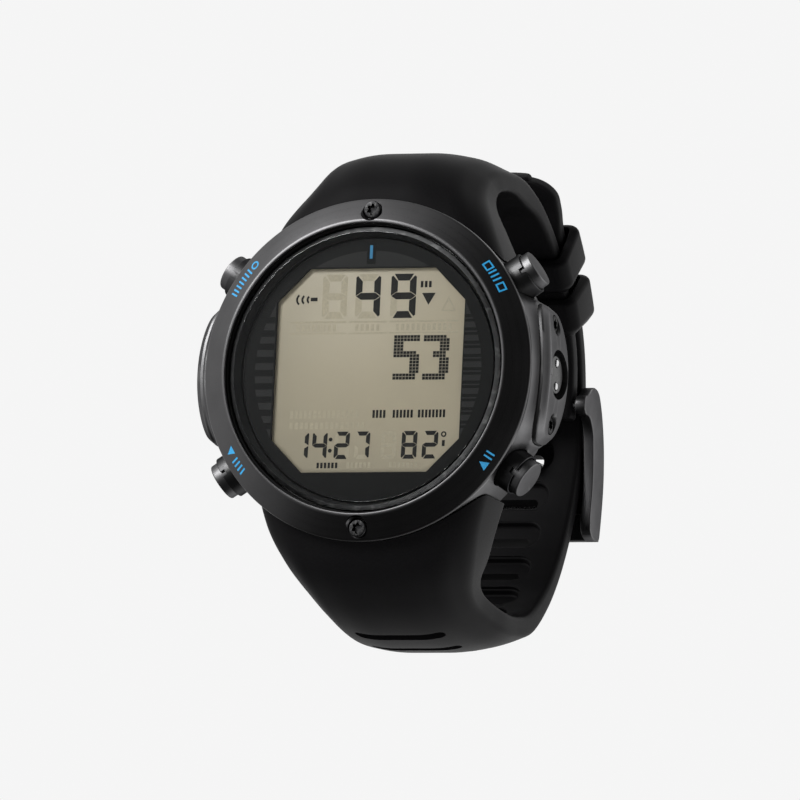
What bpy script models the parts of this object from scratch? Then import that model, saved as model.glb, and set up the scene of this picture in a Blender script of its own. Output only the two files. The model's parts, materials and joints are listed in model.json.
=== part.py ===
"""A wrist-worn dive computer on a closed rubber strap, as an assembly of separate pieces.

Everything is laid out in the face frame: x towards 3 o'clock, y towards 12 o'clock, and z out of
the dial, with z = 0 on the outside of the case back. The empty "watch" turns that frame upright,
so that 12 o'clock points along world +Z, the dial looks along world -Y and the wrist is at +Y.
"""

import math

import bmesh
import bpy
from mathutils import Matrix, Vector

MM = 0.001

# Driving dimensions, in millimetres.
CASE_THICKNESS = 16.0
BEZEL_RADIUS = 23.0
BEZEL_INNER_RADIUS = 19.9
BEZEL_LIP_RADIUS = 19.45
BEZEL_EDGE_Z = 14.05
COVER_FACE_X = 25.0
STRAP_HALF_WIDTH = 11.4
STRAP_THICKNESS = 3.0
GAP = 0.15

CASE_RADIUS = BEZEL_RADIUS - 0.4
CAVITY_RADIUS = 18.4
CASE_TOP_Z = BEZEL_EDGE_Z - 0.65
CASE_BOTTOM_Z = 2.05
CRYSTAL_RADIUS = 19.05
CRYSTAL_TOP_Z = 15.55
DIAL_RADIUS = 17.65
DIAL_TOP_Z = 13.95
LCD_HALF = (13.25, 13.7)
LCD_CORNER = 4.4
BUTTON_Z = 9.3
BUTTON_ANGLE = math.radians(33.3)
BUTTON_RADIUS = 2.57
BUTTON_TOP = 25.95
BUTTON_TRAVEL = 0.8
COLLAR_RADIUS = 2.95
COLLAR_TOP = 24.75
COVER_Z = 8.4
COVER_HALF_HEIGHT = 4.3
COVER_HALF_LENGTH = 9.3
COVER_CURVE_RADIUS = 30.0
COVER_STANDS = 1.25
COVER_SCREW_Y = 6.7
PORT_RADIUS = 3.15
SCREW_CIRCLE = 21.35
LUG_HALF_WIDTH = 6.5
LUG_RADIUS = 2.4
LUG_PIN_Y = 24.3
LUG_PIN_Z = 5.7
STRAP_PIN_RADIUS = 0.85
SLOT_HALF_WIDTH = 6.05
SLOT_LENGTH = 2.05
SLOT_PITCH = 6.45
SLOT_RECESS_HALF_WIDTH = 7.6
SLOT_RECESS_LENGTH = 4.2
SLOT_RECESS_SHIFT = 0.75
SLOT_RECESS_DEPTH = 0.9
SLOTS_TO_CASE = 8
SLOTS_TO_TIP = 4
RECESSED_SLOTS = range(2, 13)
LAYER_GAP = 0.3
WRAP_CENTRE = (-2.3, -5.3)
WRAP_RADIUS = 33.6
KEEPER_WALL = 1.25
KEEPER_PLAY = 0.35
PIVOT_Y = 3.4
PIVOT_Z = -36.9
PIVOT_RADIUS = 0.75
CHEEK_INNER_X = 11.8
CHEEK_OUTER_X = 13.3
BAR_OUTER_Z = -44.9
RAIL_THICKNESS = 1.0
TONGUE_HALF_WIDTH = 5.5
TONGUE_THICKNESS = 0.9
TONGUE_SHIFT = 0.25

ROUND = 48
SMALL_ROUND = 16

BUTTONS = {
    "select": math.pi - BUTTON_ANGLE,
    "mode": BUTTON_ANGLE,
    "up": -BUTTON_ANGLE,
    "down": math.pi + BUTTON_ANGLE,
}

# Strap stations from the case outwards: the middle of the wrist side (y, z), the middle of the
# outer side (y, z), half the width, and the thickness at the strap's edges.
UPPER_ROOT = [
    ((14.6, 2.2), (14.6, 13.3), 17.5, 9.2),
    ((19.6, 1.9), (20.6, 13.2), 14.9, 8.2),
    ((23.5, 0.8), (25.7, 12.0), 12.6, 6.7),
    ((25.9, -1.4), (29.5, 7.8), 11.8, 5.1),
    ((27.1, -4.6), (31.6, 1.4), 11.7, 4.1),
    ((27.5, -9.0), (32.2, -5.6), 11.6, 3.4),
]
LOWER_ROOT = [
    ((-14.6, 2.2), (-14.6, 13.3), 16.4, 9.2),
    ((-19.8, 1.6), (-20.9, 13.0), 14.7, 8.6),
    ((-23.0, -0.5), (-26.2, 11.4), 13.1, 7.4),
    ((-25.6, -2.2), (-30.3, 6.0), 11.6, 5.6),
    ((-27.0, -5.0), (-32.8, 0.2), 11.0, 4.2),
    ((-27.9, -9.0), (-34.0, -6.0), 11.1, 3.5),
    ((-28.5, -13.4), (-34.1, -12.2), 11.4, 3.1),
    ((-28.4, -17.8), (-33.2, -18.6), 11.4, 2.9),
]
# The even part of each strap half, as the (y, z) of its middle line. Between the two ends of the
# wrap both halves run round WRAP_CENTRE, the long one outside the short one.
UPPER_LINE_START = [(28.9, -14.8), (27.4, -20.2)]
UPPER_LINE_END = [(5.8, -37.1), (1.4, -36.9)]
UPPER_WRAP_DEGREES = (38.0, 45.5, 53.0, 60.5, 68.0)
LOWER_LINE_START = [
    (-28.9, -23.9),
    (-25.2, -29.2),
    (-20.6, -33.4),
    (-15.2, -36.8),
    (-9.6, -39.4),
    (-3.7, -41.0),
    (2.0, -41.2),
    (7.2, -40.6),
]
LOWER_LINE_END = [(29.0, -27.5), (31.0, -26.2), (32.5, -25.3), (33.2, -24.9)]
LOWER_WRAP_DEGREES = (68.0, 61.0, 54.0, 47.0, 40.0)
TIP_HALF_WIDTHS = [11.4, 11.0, 8.8, 4.6]
TIP_THICKNESSES = [2.9, 2.7, 2.5, 2.3]
KEEPERS = {"keeper_upper": 46.0, "keeper_lower": 57.6}
KEEPER_LENGTH = 6.2
CROSSING_Y = -4.1


# ---------------------------------------------------------------- scene and helpers


def clear_scene():
    for old in list(bpy.data.objects):
        bpy.data.objects.remove(old)


def new_collection(name):
    made = bpy.data.collections.new(name)
    bpy.context.scene.collection.children.link(made)
    return made


def make_material(name, colour, roughness, metallic):
    material = bpy.data.materials.new(name)
    material.use_nodes = True
    shader = material.node_tree.nodes["Principled BSDF"]
    shader.inputs["Base Color"].default_value = (*colour, 1.0)
    shader.inputs["Roughness"].default_value = roughness
    shader.inputs["Metallic"].default_value = metallic
    return material


def add_object(name, mesh, material=None, matrix=None):
    """A node of the watch, or with no material a cutter, which the build leaves out."""
    made = bpy.data.objects.new(name, mesh)
    (PARTS if material else CUTTERS).objects.link(made)
    made.parent = WATCH
    made.matrix_local = matrix or Matrix.Identity(4)
    if material:
        mesh.materials.append(material)
    else:
        made.hide_render = True
        made.display_type = "WIRE"
    return made


def turned(name, profile, material=None, matrix=None, steps=ROUND, closed=True):
    """Turns (radius, z) points about z. A closed profile makes a ring, and an open one a solid whose
    ends lie on the axis. The points run down the outer side."""
    mesh = bpy.data.meshes.new(name)
    points = [(r * MM, 0.0, z * MM) for r, z in profile]
    edges = [(i, i + 1) for i in range(len(points) - 1)]
    if closed:
        edges.append((len(points) - 1, 0))
    mesh.from_pydata(points, edges, [])
    made = add_object(name, mesh, material, matrix)
    screw = made.modifiers.new("turn", "SCREW")
    screw.axis = "Z"
    screw.steps = steps
    screw.render_steps = steps
    screw.use_merge_vertices = True
    screw.merge_threshold = 0.00001
    screw.use_smooth_shade = False
    return made


def outline_mesh(name, loops, low, high):
    """A plate between two heights from 2D outlines: the first is its edge and the others are holes."""
    curve = bpy.data.curves.new(name, "CURVE")
    curve.dimensions = "2D"
    curve.fill_mode = "BOTH"
    curve.extrude = (high - low) / 2 * MM
    for loop in loops:
        spline = curve.splines.new("POLY")
        spline.points.add(len(loop) - 1)
        for point, (x, y) in zip(spline.points, loop):
            point.co = (x * MM, y * MM, 0.0, 1.0)
        spline.use_cyclic_u = True
    guide = bpy.data.objects.new(name + "_outline", curve)
    CUTTERS.objects.link(guide)
    bpy.context.view_layer.update()
    evaluated = guide.evaluated_get(bpy.context.evaluated_depsgraph_get())
    mesh = bpy.data.meshes.new_from_object(evaluated)
    bpy.data.objects.remove(guide)
    shape = bmesh.new()
    shape.from_mesh(mesh)
    bmesh.ops.remove_doubles(shape, verts=shape.verts, dist=0.000001)
    bmesh.ops.translate(shape, verts=shape.verts, vec=(0, 0, (low + high) / 2 * MM))
    bmesh.ops.recalc_face_normals(shape, faces=shape.faces)
    shape.to_mesh(mesh)
    shape.free()
    mesh.name = name
    return mesh


def plate(name, loops, low, high, material=None, matrix=None):
    return add_object(name, outline_mesh(name, loops, low, high), material, matrix)


def box(name, low, high, material=None, matrix=None, bevel=0.0):
    shape = bmesh.new()
    bmesh.ops.create_cube(shape, size=1.0)
    size = [(b - a) * MM for a, b in zip(low, high)]
    middle = [(a + b) / 2 * MM for a, b in zip(low, high)]
    bmesh.ops.scale(shape, verts=shape.verts, vec=size)
    bmesh.ops.translate(shape, verts=shape.verts, vec=middle)
    mesh = bpy.data.meshes.new(name)
    shape.to_mesh(mesh)
    shape.free()
    made = add_object(name, mesh, material, matrix)
    if bevel:
        rounding = made.modifiers.new("edges", "BEVEL")
        rounding.width = bevel * MM
        rounding.segments = 2
    return made


def rod(name, radius, low, high, material=None, matrix=None, sides=SMALL_ROUND):
    """A cylinder along z of its matrix."""
    shape = bmesh.new()
    bmesh.ops.create_cone(
        shape, cap_ends=True, segments=sides, radius1=radius * MM, radius2=radius * MM, depth=(high - low) * MM
    )
    bmesh.ops.translate(shape, verts=shape.verts, vec=(0, 0, (low + high) / 2 * MM))
    mesh = bpy.data.meshes.new(name)
    shape.to_mesh(mesh)
    shape.free()
    return add_object(name, mesh, material, matrix)


def combine(body, tool, operation="DIFFERENCE"):
    modifier = body.modifiers.new(tool.name, "BOOLEAN")
    modifier.operation = operation
    modifier.object = tool
    return body


def frame_at(origin, x_axis, z_axis):
    """A matrix whose z runs along z_axis and whose x is as near x_axis as it can be."""
    z = Vector(z_axis).normalized()
    y = z.cross(Vector(x_axis)).normalized()
    x = y.cross(z)
    matrix = Matrix((x, y, z)).transposed().to_4x4()
    matrix.translation = Vector(origin) * MM
    return matrix


def side_frame(side, z=0.0):
    """For plates on the case's flanks: z outwards along +x or -x, y towards 12 o'clock."""
    return frame_at((0, 0, z), (0, 0, -side), (side, 0, 0))


def arc(centre, radius, start, end, steps):
    """Points on an arc from start to end degrees."""
    angles = [math.radians(start + (end - start) * i / steps) for i in range(steps + 1)]
    return [(centre[0] + radius * math.cos(a), centre[1] + radius * math.sin(a)) for a in angles]


def rounded_rectangle(half_x, half_y, radius, steps=4):
    corners = [(1, 1, 0), (-1, 1, 90), (-1, -1, 180), (1, -1, 270)]
    loop = []
    for sx, sy, start in corners:
        centre = (sx * (half_x - radius), sy * (half_y - radius))
        loop += arc(centre, radius, start, start + 90, steps)
    return loop


def octagon(half_x, half_y, corner):
    loop = []
    for sx, sy in ((1, 1), (-1, 1), (-1, -1), (1, -1)):
        points = [(sx * half_x, sy * (half_y - corner)), (sx * (half_x - corner), sy * half_y)]
        loop += points if sx * sy > 0 else points[::-1]
    return loop


def circle(radius, steps=ROUND, centre=(0, 0)):
    return arc(centre, radius, 0, 360 * (steps - 1) / steps, steps - 1)


# ---------------------------------------------------------------- case, glass and dial


def make_case_body():
    profile = [
        (CAVITY_RADIUS, CASE_TOP_Z),
        (CASE_RADIUS - 0.3, CASE_TOP_Z),
        (CASE_RADIUS, CASE_TOP_Z - 0.3),
        (CASE_RADIUS, 4.4),
        (CASE_RADIUS - 0.9, CASE_BOTTOM_Z),
        (19.3, CASE_BOTTOM_Z),
        (19.3, 3.3),
        (CAVITY_RADIUS, 3.3),
    ]
    case = turned("case_body", profile, STEEL)
    for side, name in ((1, "right"), (-1, "left")):
        combine(case, make_cover_boss(name, side), "UNION")
        pocket = plate(
            f"{name}_cover_pocket",
            [cover_outline(GAP)],
            COVER_FACE_X - 2.6 - GAP,
            COVER_FACE_X + 3,
            matrix=side_frame(side, COVER_Z),
        )
        combine(case, pocket)
    room = [(0.0, 20.0), (BEZEL_RADIUS + GAP, 20.0), (BEZEL_RADIUS + GAP, CASE_TOP_Z + 0.05), (0.0, CASE_TOP_Z + 0.05)]
    combine(case, turned("bezel_room", room, closed=False, steps=64))
    for side, name in ((1, "upper"), (-1, "lower")):
        combine(case, make_lug(f"{name}_lug", side), "UNION")
        combine(case, lug_bore(name, side))
    for name, angle in BUTTONS.items():
        along = button_frame(angle)
        combine(case, rod(f"{name}_stem_bore", 1.35, 16.5, 24.5, matrix=along))
        combine(case, rod(f"{name}_collar_seat", COLLAR_RADIUS + GAP, 21.4, 26.0, matrix=along, sides=24))
    combine(case, rod("sensor_bore", 1.7, 17.0, 23.0, matrix=side_frame(-1, COVER_Z)))
    combine(case, rod("contact_bore", 2.2, 17.0, 23.0, matrix=side_frame(1, COVER_Z)))
    for side, name in ((1, "right"), (-1, "left")):
        for y in (COVER_SCREW_Y, -COVER_SCREW_Y):
            at = side_frame(side, COVER_Z) @ Matrix.Translation((0, y * MM, 0))
            combine(case, rod(f"{name}_cover_thread_{y:.0f}", 0.75, 19.5, 23.0, matrix=at, sides=12))
    for i in range(4):
        at = Matrix.Translation(back_screw_place(i))
        combine(case, rod(f"back_thread_{i}", 0.75, 1.0, 6.0, matrix=at, sides=12))
    for y in (SCREW_CIRCLE, -SCREW_CIRCLE):
        at = Matrix.Translation((0, y * MM, 0))
        combine(case, rod(f"bezel_thread_{y:.0f}", 0.75, 10.5, 14.0, matrix=at, sides=12))
    return case


def back_screw_place(i):
    angle = math.radians(58 + 64 * (i % 2) + 180 * (i // 2))
    return Vector((math.cos(angle), math.sin(angle), 0)) * 20.3 * MM


def cover_outline(margin=0.0):
    """The side cover's outline, seen from outside: long sides that draw in towards round ends.
    x is depth along the case's height and y runs towards 12 o'clock."""
    half_x = COVER_HALF_HEIGHT + margin
    half_y = COVER_HALF_LENGTH + margin
    loop = []
    for i in range(28):
        a = 2 * math.pi * i / 28
        c, s = math.cos(a), math.sin(a)
        bulge = 0.62
        loop.append((half_x * math.copysign(abs(c) ** bulge, c), half_y * math.copysign(abs(s) ** 0.9, s)))
    return loop


def convex_tool(name, face_x, side):
    """A large cylinder whose skin is the slightly domed face of a side cover."""
    radius = COVER_CURVE_RADIUS - (COVER_FACE_X - face_x)
    at = Matrix.Translation((side * (face_x - radius) * MM, 0, 0)) @ Matrix.Rotation(0.013, 4, "Z")
    return rod(name, radius, -2.0, 20.0, matrix=at, sides=96)


def make_cover_boss(name, side):
    boss = plate(f"{name}_boss", [cover_outline(0.95)], 19.6, COVER_FACE_X + 2, matrix=side_frame(side, COVER_Z - 0.2))
    combine(boss, convex_tool(f"{name}_boss_dome", COVER_FACE_X - COVER_STANDS, side), "INTERSECT")
    return boss


def make_lug(name, side, margin=0.0):
    """The tab that a strap half is pinned to, rounded about its pin. With a margin, the room for it."""
    radius = LUG_RADIUS + margin
    root = 20.5 - 10 * margin
    nose = arc((LUG_PIN_Y, LUG_PIN_Z), radius, -90, 90, 10)
    outline = [(root, LUG_PIN_Z + radius), (root, LUG_PIN_Z - radius)] + nose
    mirrored = [(side * y, z) for y, z in outline]
    half = LUG_HALF_WIDTH + margin
    flank = frame_at((0, 0, 0), (0, 1, 0), (1, 0, 0))
    return plate(name, [mirrored], -half, half, matrix=flank)


def lug_frame(side):
    return frame_at((0, side * LUG_PIN_Y, LUG_PIN_Z), (0, 1, 0), (1, 0, 0))


def lug_bore(name, side):
    return rod(f"{name}_lug_bore", STRAP_PIN_RADIUS + 0.08, -12, 12, matrix=lug_frame(side), sides=16)


def make_bezel():
    profile = [
        (BEZEL_INNER_RADIUS, CRYSTAL_TOP_Z + 0.1),
        (BEZEL_LIP_RADIUS, CRYSTAL_TOP_Z + 0.1),
        (BEZEL_LIP_RADIUS, CASE_THICKNESS - 0.15),
        (BEZEL_LIP_RADIUS + 0.15, CASE_THICKNESS),
        (BEZEL_LIP_RADIUS + 0.45, CASE_THICKNESS - 0.05),
        (BEZEL_RADIUS, BEZEL_EDGE_Z + 0.1),
        (BEZEL_RADIUS, BEZEL_EDGE_Z - 0.4),
        (BEZEL_RADIUS - 0.2, CASE_TOP_Z + GAP),
        (BEZEL_INNER_RADIUS, CASE_TOP_Z + GAP),
    ]
    bezel = turned("bezel", profile, DARK_STEEL, steps=64)
    for y, name in ((SCREW_CIRCLE, "12"), (-SCREW_CIRCLE, "6")):
        at = Matrix.Translation((0, y * MM, 0))
        combine(bezel, rod(f"bezel_sink_{name}", 1.35, 14.35, 17.0, matrix=at, sides=24))
        combine(bezel, rod(f"bezel_hole_{name}", 0.75, 13.0, 15.0, matrix=at, sides=12))


def make_screw(name, place, outwards, head_radius, head_height, length, socket=0.55):
    """A socket-head screw: its head's top is at place, and it runs inwards from there."""
    matrix = frame_at(place, (0.12, 0.99, 0.03), outwards)
    profile = [
        (0.0, 0.0),
        (head_radius - 0.12, 0.0),
        (head_radius, -0.12),
        (head_radius, -head_height),
        (0.6, -head_height),
        (0.6, -length),
        (0.0, -length),
    ]
    screw = turned(name, profile, DARK_STEEL, matrix, steps=12, closed=False)
    combine(screw, rod(name + "_socket", socket, -0.6, 0.4, matrix=matrix, sides=6))


def make_fasteners():
    for y, name in ((SCREW_CIRCLE, "12"), (-SCREW_CIRCLE, "6")):
        make_screw(f"bezel_screw_{name}", (0, y, 15.15), (0, 0, 1), 1.2, 0.65, 4.2)
    for side, name in ((1, "right"), (-1, "left")):
        for y, where in ((COVER_SCREW_Y, "upper"), (-COVER_SCREW_Y, "lower")):
            place = (side * (COVER_FACE_X - 0.95), y, COVER_Z)
            make_screw(f"{name}_cover_screw_{where}", place, (side, 0, 0), 1.2, 0.55, 4.0)
    for i in range(4):
        spot = back_screw_place(i) / MM
        make_screw(f"back_screw_{i + 1}", (spot.x, spot.y, 0.25), (0, 0, -1), 1.1, 0.7, 4.5, 0.5)


def make_glass_and_dial():
    taper_z = CRYSTAL_TOP_Z - 0.75
    turned(
        "crystal",
        [
            (0.0, CRYSTAL_TOP_Z),
            (CRYSTAL_RADIUS - 0.3, CRYSTAL_TOP_Z),
            (CRYSTAL_RADIUS, CRYSTAL_TOP_Z - 0.2),
            (CRYSTAL_RADIUS, taper_z),
            (DIAL_RADIUS, DIAL_TOP_Z + GAP),
            (0.0, DIAL_TOP_Z + GAP),
        ],
        GLASS,
        closed=False,
    )
    turned(
        "crystal_gasket",
        [
            (CRYSTAL_RADIUS + GAP, CRYSTAL_TOP_Z - 0.1),
            (BEZEL_INNER_RADIUS - GAP, CRYSTAL_TOP_Z - 0.1),
            (BEZEL_INNER_RADIUS - GAP, CASE_TOP_Z + GAP),
            (CRYSTAL_RADIUS + GAP, CASE_TOP_Z + GAP),
        ],
        RUBBER,
    )
    turned(
        "dial_ring",
        [
            (DIAL_RADIUS + 0.25, DIAL_TOP_Z),
            (CRYSTAL_RADIUS - 0.05, taper_z - 0.2),
            (CRYSTAL_RADIUS - 0.05, CASE_TOP_Z + GAP),
            (DIAL_RADIUS + 0.25, CASE_TOP_Z + GAP),
        ],
        STEEL,
    )
    window = octagon(*LCD_HALF, LCD_CORNER)
    plate("dial_mask", [circle(DIAL_RADIUS), window], DIAL_TOP_Z - 0.45, DIAL_TOP_Z, PLASTIC)
    panel = octagon(LCD_HALF[0] + 0.3, LCD_HALF[1] + 0.3, LCD_CORNER)
    plate("lcd_panel", [panel], 12.25, DIAL_TOP_Z - 0.6, LCD)
    plate("backlight_panel", [panel], 11.3, 12.1, PLASTIC)
    plate("circuit_board", [circle(16.3, 32)], 10.25, 11.15, BOARD)
    turned(
        "module_frame",
        [(16.95, 13.2), (17.6, 13.2), (17.6, 11.2), (16.95, 11.2)],
        PLASTIC,
    )
    rod("battery", 12.25, 4.0, 9.0, BATTERY, Matrix.Translation((0, -4.7 * MM, 0)), sides=32)
    rod("buzzer", 4.6, 3.6, 5.6, BRASS, Matrix.Translation((0, 12.9 * MM, 0)), sides=24)
    rod("antenna_coil", 1.5, -7.0, 7.0, BRASS, frame_at((0, 12.6, 7.9), (0, 1, 0), (1, 0, 0)), sides=16)


def make_case_back():
    back_profile = [
        (0.0, 2.6),
        (18.2, 2.6),
        (18.2, CASE_BOTTOM_Z - GAP),
        (21.3, CASE_BOTTOM_Z - GAP),
        (21.3, 1.2),
        (20.1 + 0.9, 0.5),
        (19.6 + 0.6, 0.0),
        (0.0, 0.0),
    ]
    back = turned("case_back", back_profile, STEEL, closed=False)
    for i in range(4):
        at = Matrix.Translation(back_screw_place(i))
        combine(back, rod(f"back_sink_{i}", 1.25, -1.0, 1.05, matrix=at, sides=16))
        combine(back, rod(f"back_hole_{i}", 0.75, 0.5, 3.0, matrix=at, sides=12))
    turned("back_gasket", [(18.45, 3.15), (19.15, 3.15), (19.15, 2.1), (18.45, 2.1)], RUBBER)


# ---------------------------------------------------------------- side covers


def make_covers():
    for side, name in ((1, "right"), (-1, "left")):
        at = side_frame(side, COVER_Z)
        cover = plate(f"{name}_cover", [cover_outline()], COVER_FACE_X - 2.6, COVER_FACE_X + 1, STEEL, at)
        combine(cover, convex_tool(f"{name}_cover_dome", COVER_FACE_X, side), "INTERSECT")
        for y in (COVER_SCREW_Y, -COVER_SCREW_Y):
            spot = at @ Matrix.Translation((0, y * MM, 0))
            combine(cover, rod(f"{name}_cover_sink_{y:.0f}", 1.35, COVER_FACE_X - 1.75, 27, matrix=spot, sides=16))
            combine(cover, rod(f"{name}_cover_hole_{y:.0f}", 0.75, 21, 24, matrix=spot, sides=12))
        if side > 0:
            combine(cover, rod("port_opening", PORT_RADIUS + GAP, 21, 27, matrix=at, sides=32))
        else:
            for y in (-1.6, 0.0, 1.6):
                hole = at @ Matrix.Translation((0, y * MM, 0))
                combine(cover, rod(f"sensor_hole_{y:.1f}", 0.45, 21, 27, matrix=hole, sides=12))
    at = side_frame(1, COVER_Z)
    port = turned(
        "contact_port",
        [
            (0.0, COVER_FACE_X - 0.5),
            (2.5, COVER_FACE_X - 0.5),
            (2.5, COVER_FACE_X - 1.1),
            (PORT_RADIUS, COVER_FACE_X - 1.1),
            (PORT_RADIUS, COVER_FACE_X - 2.6),
            (0.0, COVER_FACE_X - 2.6),
        ],
        PLASTIC,
        at,
        steps=32,
        closed=False,
    )
    for y, where in ((1.55, "upper"), (-1.55, "lower")):
        spot = at @ Matrix.Translation((0, y * MM, 0))
        combine(port, rod(f"contact_hole_{where}", 0.62, 20, 27, matrix=spot, sides=12))
        rod(f"contact_pin_{where}", 0.5, 19.0, COVER_FACE_X - 0.3, BRIGHT_STEEL, spot, sides=12)
    rod("pressure_sensor", 1.5, 18.7, COVER_FACE_X - 2.8, BRASS, side_frame(-1, COVER_Z), sides=SMALL_ROUND)


# ---------------------------------------------------------------- buttons


def button_frame(angle):
    """z runs out of the case along the button's travel."""
    return frame_at((0, 0, BUTTON_Z), (0, 0, 1), (math.cos(angle), math.sin(angle), 0))


def make_button(name, angle):
    at = button_frame(angle)
    turned(
        f"button_{name}",
        [
            (0.0, BUTTON_TOP),
            (BUTTON_RADIUS - 0.2, BUTTON_TOP),
            (BUTTON_RADIUS, BUTTON_TOP - 0.2),
            (BUTTON_RADIUS, BUTTON_TOP - 2.35),
            (2.15, BUTTON_TOP - 2.35),
            (2.15, BUTTON_TOP - 1.45),
            (0.85, BUTTON_TOP - 1.45),
            (0.85, 20.75),
            (0.6, 20.75),
            (0.6, 20.1),
            (0.85, 20.1),
            (0.85, 18.25),
            (0.6, 18.25),
            (0.6, 17.75),
            (0.85, 17.75),
            (0.85, 17.5),
            (0.0, 17.5),
        ],
        STEEL,
        at,
        steps=SMALL_ROUND,
        closed=False,
    )
    turned(
        f"button_collar_{name}",
        [
            (BUTTON_RADIUS + 0.1, COLLAR_TOP),
            (COLLAR_RADIUS, COLLAR_TOP),
            (COLLAR_RADIUS, 21.55),
            (1.05, 21.55),
            (1.05, 22.3),
            (BUTTON_RADIUS + 0.1, 22.3),
        ],
        STEEL,
        at,
        steps=24,
    )
    turned(
        f"button_seal_{name}",
        [(0.68, 20.6), (1.2, 20.6), (1.2, 20.25), (0.68, 20.25)],
        RUBBER,
        at,
        steps=12,
    )
    turned(
        f"button_clip_{name}",
        [(0.7, 18.1), (1.6, 18.1), (1.6, 17.85), (0.7, 17.85)],
        BRIGHT_STEEL,
        at,
        steps=12,
    )
    make_spring(f"button_spring_{name}", at, 22.5, BUTTON_TOP - 1.6)


def make_spring(name, at, low, high):
    """An open coil between the collar's floor and the button's cap."""
    wire, radius, turns, per_turn = 0.16, 1.45, 3.5, 8
    curve = bpy.data.curves.new(name, "CURVE")
    curve.dimensions = "3D"
    curve.bevel_depth = wire * MM
    curve.bevel_resolution = 1
    curve.use_fill_caps = True
    spline = curve.splines.new("POLY")
    count = int(turns * per_turn)
    spline.points.add(count)
    for i in range(count + 1):
        a = 2 * math.pi * i / per_turn
        z = low + wire + (high - low - 2 * wire) * i / count
        spline.points[i].co = (radius * MM * math.cos(a), radius * MM * math.sin(a), z * MM, 1.0)
    add_object(name, curve, BRIGHT_STEEL, at)


# ---------------------------------------------------------------- strap


def along(values, t):
    """Catmull-Rom through a list of equal-length tuples, with t counted in list steps."""
    i = min(max(int(math.floor(t)), 0), len(values) - 2)
    f = t - i
    a, b, c, d = (values[min(max(k, 0), len(values) - 1)] for k in (i - 1, i, i + 1, i + 2))
    return tuple(
        0.5 * (2 * q + (r - p) * f + (2 * p - 5 * q + 4 * r - s) * f * f + (3 * q - p - 3 * r + s) * f**3)
        for p, q, r, s in zip(a, b, c, d)
    )


def on_wrap(radius, degrees):
    """A place (y, z) on the straps' shared bend; the angle grows towards the buckle."""
    a = math.radians(degrees)
    return (WRAP_CENTRE[0] + radius * math.cos(a), WRAP_CENTRE[1] - radius * math.sin(a))


def upper_line():
    return UPPER_LINE_START + [on_wrap(WRAP_RADIUS, a) for a in UPPER_WRAP_DEGREES] + UPPER_LINE_END


def lower_line():
    radius = WRAP_RADIUS + STRAP_THICKNESS + LAYER_GAP
    return LOWER_LINE_START + [on_wrap(radius, a) for a in LOWER_WRAP_DEGREES] + LOWER_LINE_END


def line_normal(line, t):
    """The normal of a middle line at t, to the left of its direction."""
    ahead, behind = along(line, t + 0.05), along(line, t - 0.05)
    dy, dz = ahead[0] - behind[0], ahead[1] - behind[1]
    size = math.hypot(dy, dz)
    return (-dz / size, dy / size)


def line_stations(line, outward, thickness, half_width):
    stations = []
    for i, (y, z) in enumerate(line):
        ny, nz = line_normal(line, i)
        h = outward * thickness[i] / 2
        inner, outer = (y - ny * h, z - nz * h), (y + ny * h, z + nz * h)
        stations.append((inner, outer, half_width[i], thickness[i] * 0.86))
    return stations


def upper_stations():
    line = upper_line()
    thickness = [4.2, 3.3] + [STRAP_THICKNESS] * (len(line) - 2)
    return UPPER_ROOT + line_stations(line, 1, thickness, [STRAP_HALF_WIDTH] * len(line))


def lower_stations():
    line = lower_line()
    middle = len(line) - 3 - len(TIP_THICKNESSES)
    thickness = [3.9, 3.5, 3.2] + [STRAP_THICKNESS] * middle + TIP_THICKNESSES
    widths = [STRAP_HALF_WIDTH] * (len(line) - len(TIP_HALF_WIDTHS)) + TIP_HALF_WIDTHS
    return LOWER_ROOT + line_stations(line, -1, thickness, widths)


def section(station):
    """One cross-section: flat on the wrist side, crowned on the outside, with small edge rounds."""
    (iy, iz, oy, oz, half, edge) = station
    thick = math.hypot(oy - iy, oz - iz)
    ny, nz = (oy - iy) / thick, (oz - iz) / thick
    r = min(0.55, edge * 0.3)
    side = [(half - r, 0.0), (half, r), (half, edge * 0.72), (half * 0.94, edge * 0.95)]
    side += [(half * 0.72, edge + (thick - edge) * 0.62), (half * 0.38, edge + (thick - edge) * 0.92)]
    loop = side + [(0.0, thick)] + [(-x, h) for x, h in reversed(side)]
    return [Vector((x, iy + ny * h, iz + nz * h)) * MM for x, h in loop]


def loft(name, stations, steps_each, material):
    flat = [(*inner, *outer, half, edge) for inner, outer, half, edge in stations]
    shape = bmesh.new()
    rings = []
    count = (len(flat) - 1) * steps_each
    for k in range(count + 1):
        points = section(along(flat, k / steps_each))
        rings.append([shape.verts.new(p) for p in points])
    for a, b in zip(rings, rings[1:]):
        for i in range(len(a)):
            j = (i + 1) % len(a)
            shape.faces.new((a[i], a[j], b[j], b[i]))
    shape.faces.new(rings[0])
    shape.faces.new(rings[-1])
    bmesh.ops.recalc_face_normals(shape, faces=shape.faces)
    mesh = bpy.data.meshes.new(name)
    shape.to_mesh(mesh)
    shape.free()
    return add_object(name, mesh, material)


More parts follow.
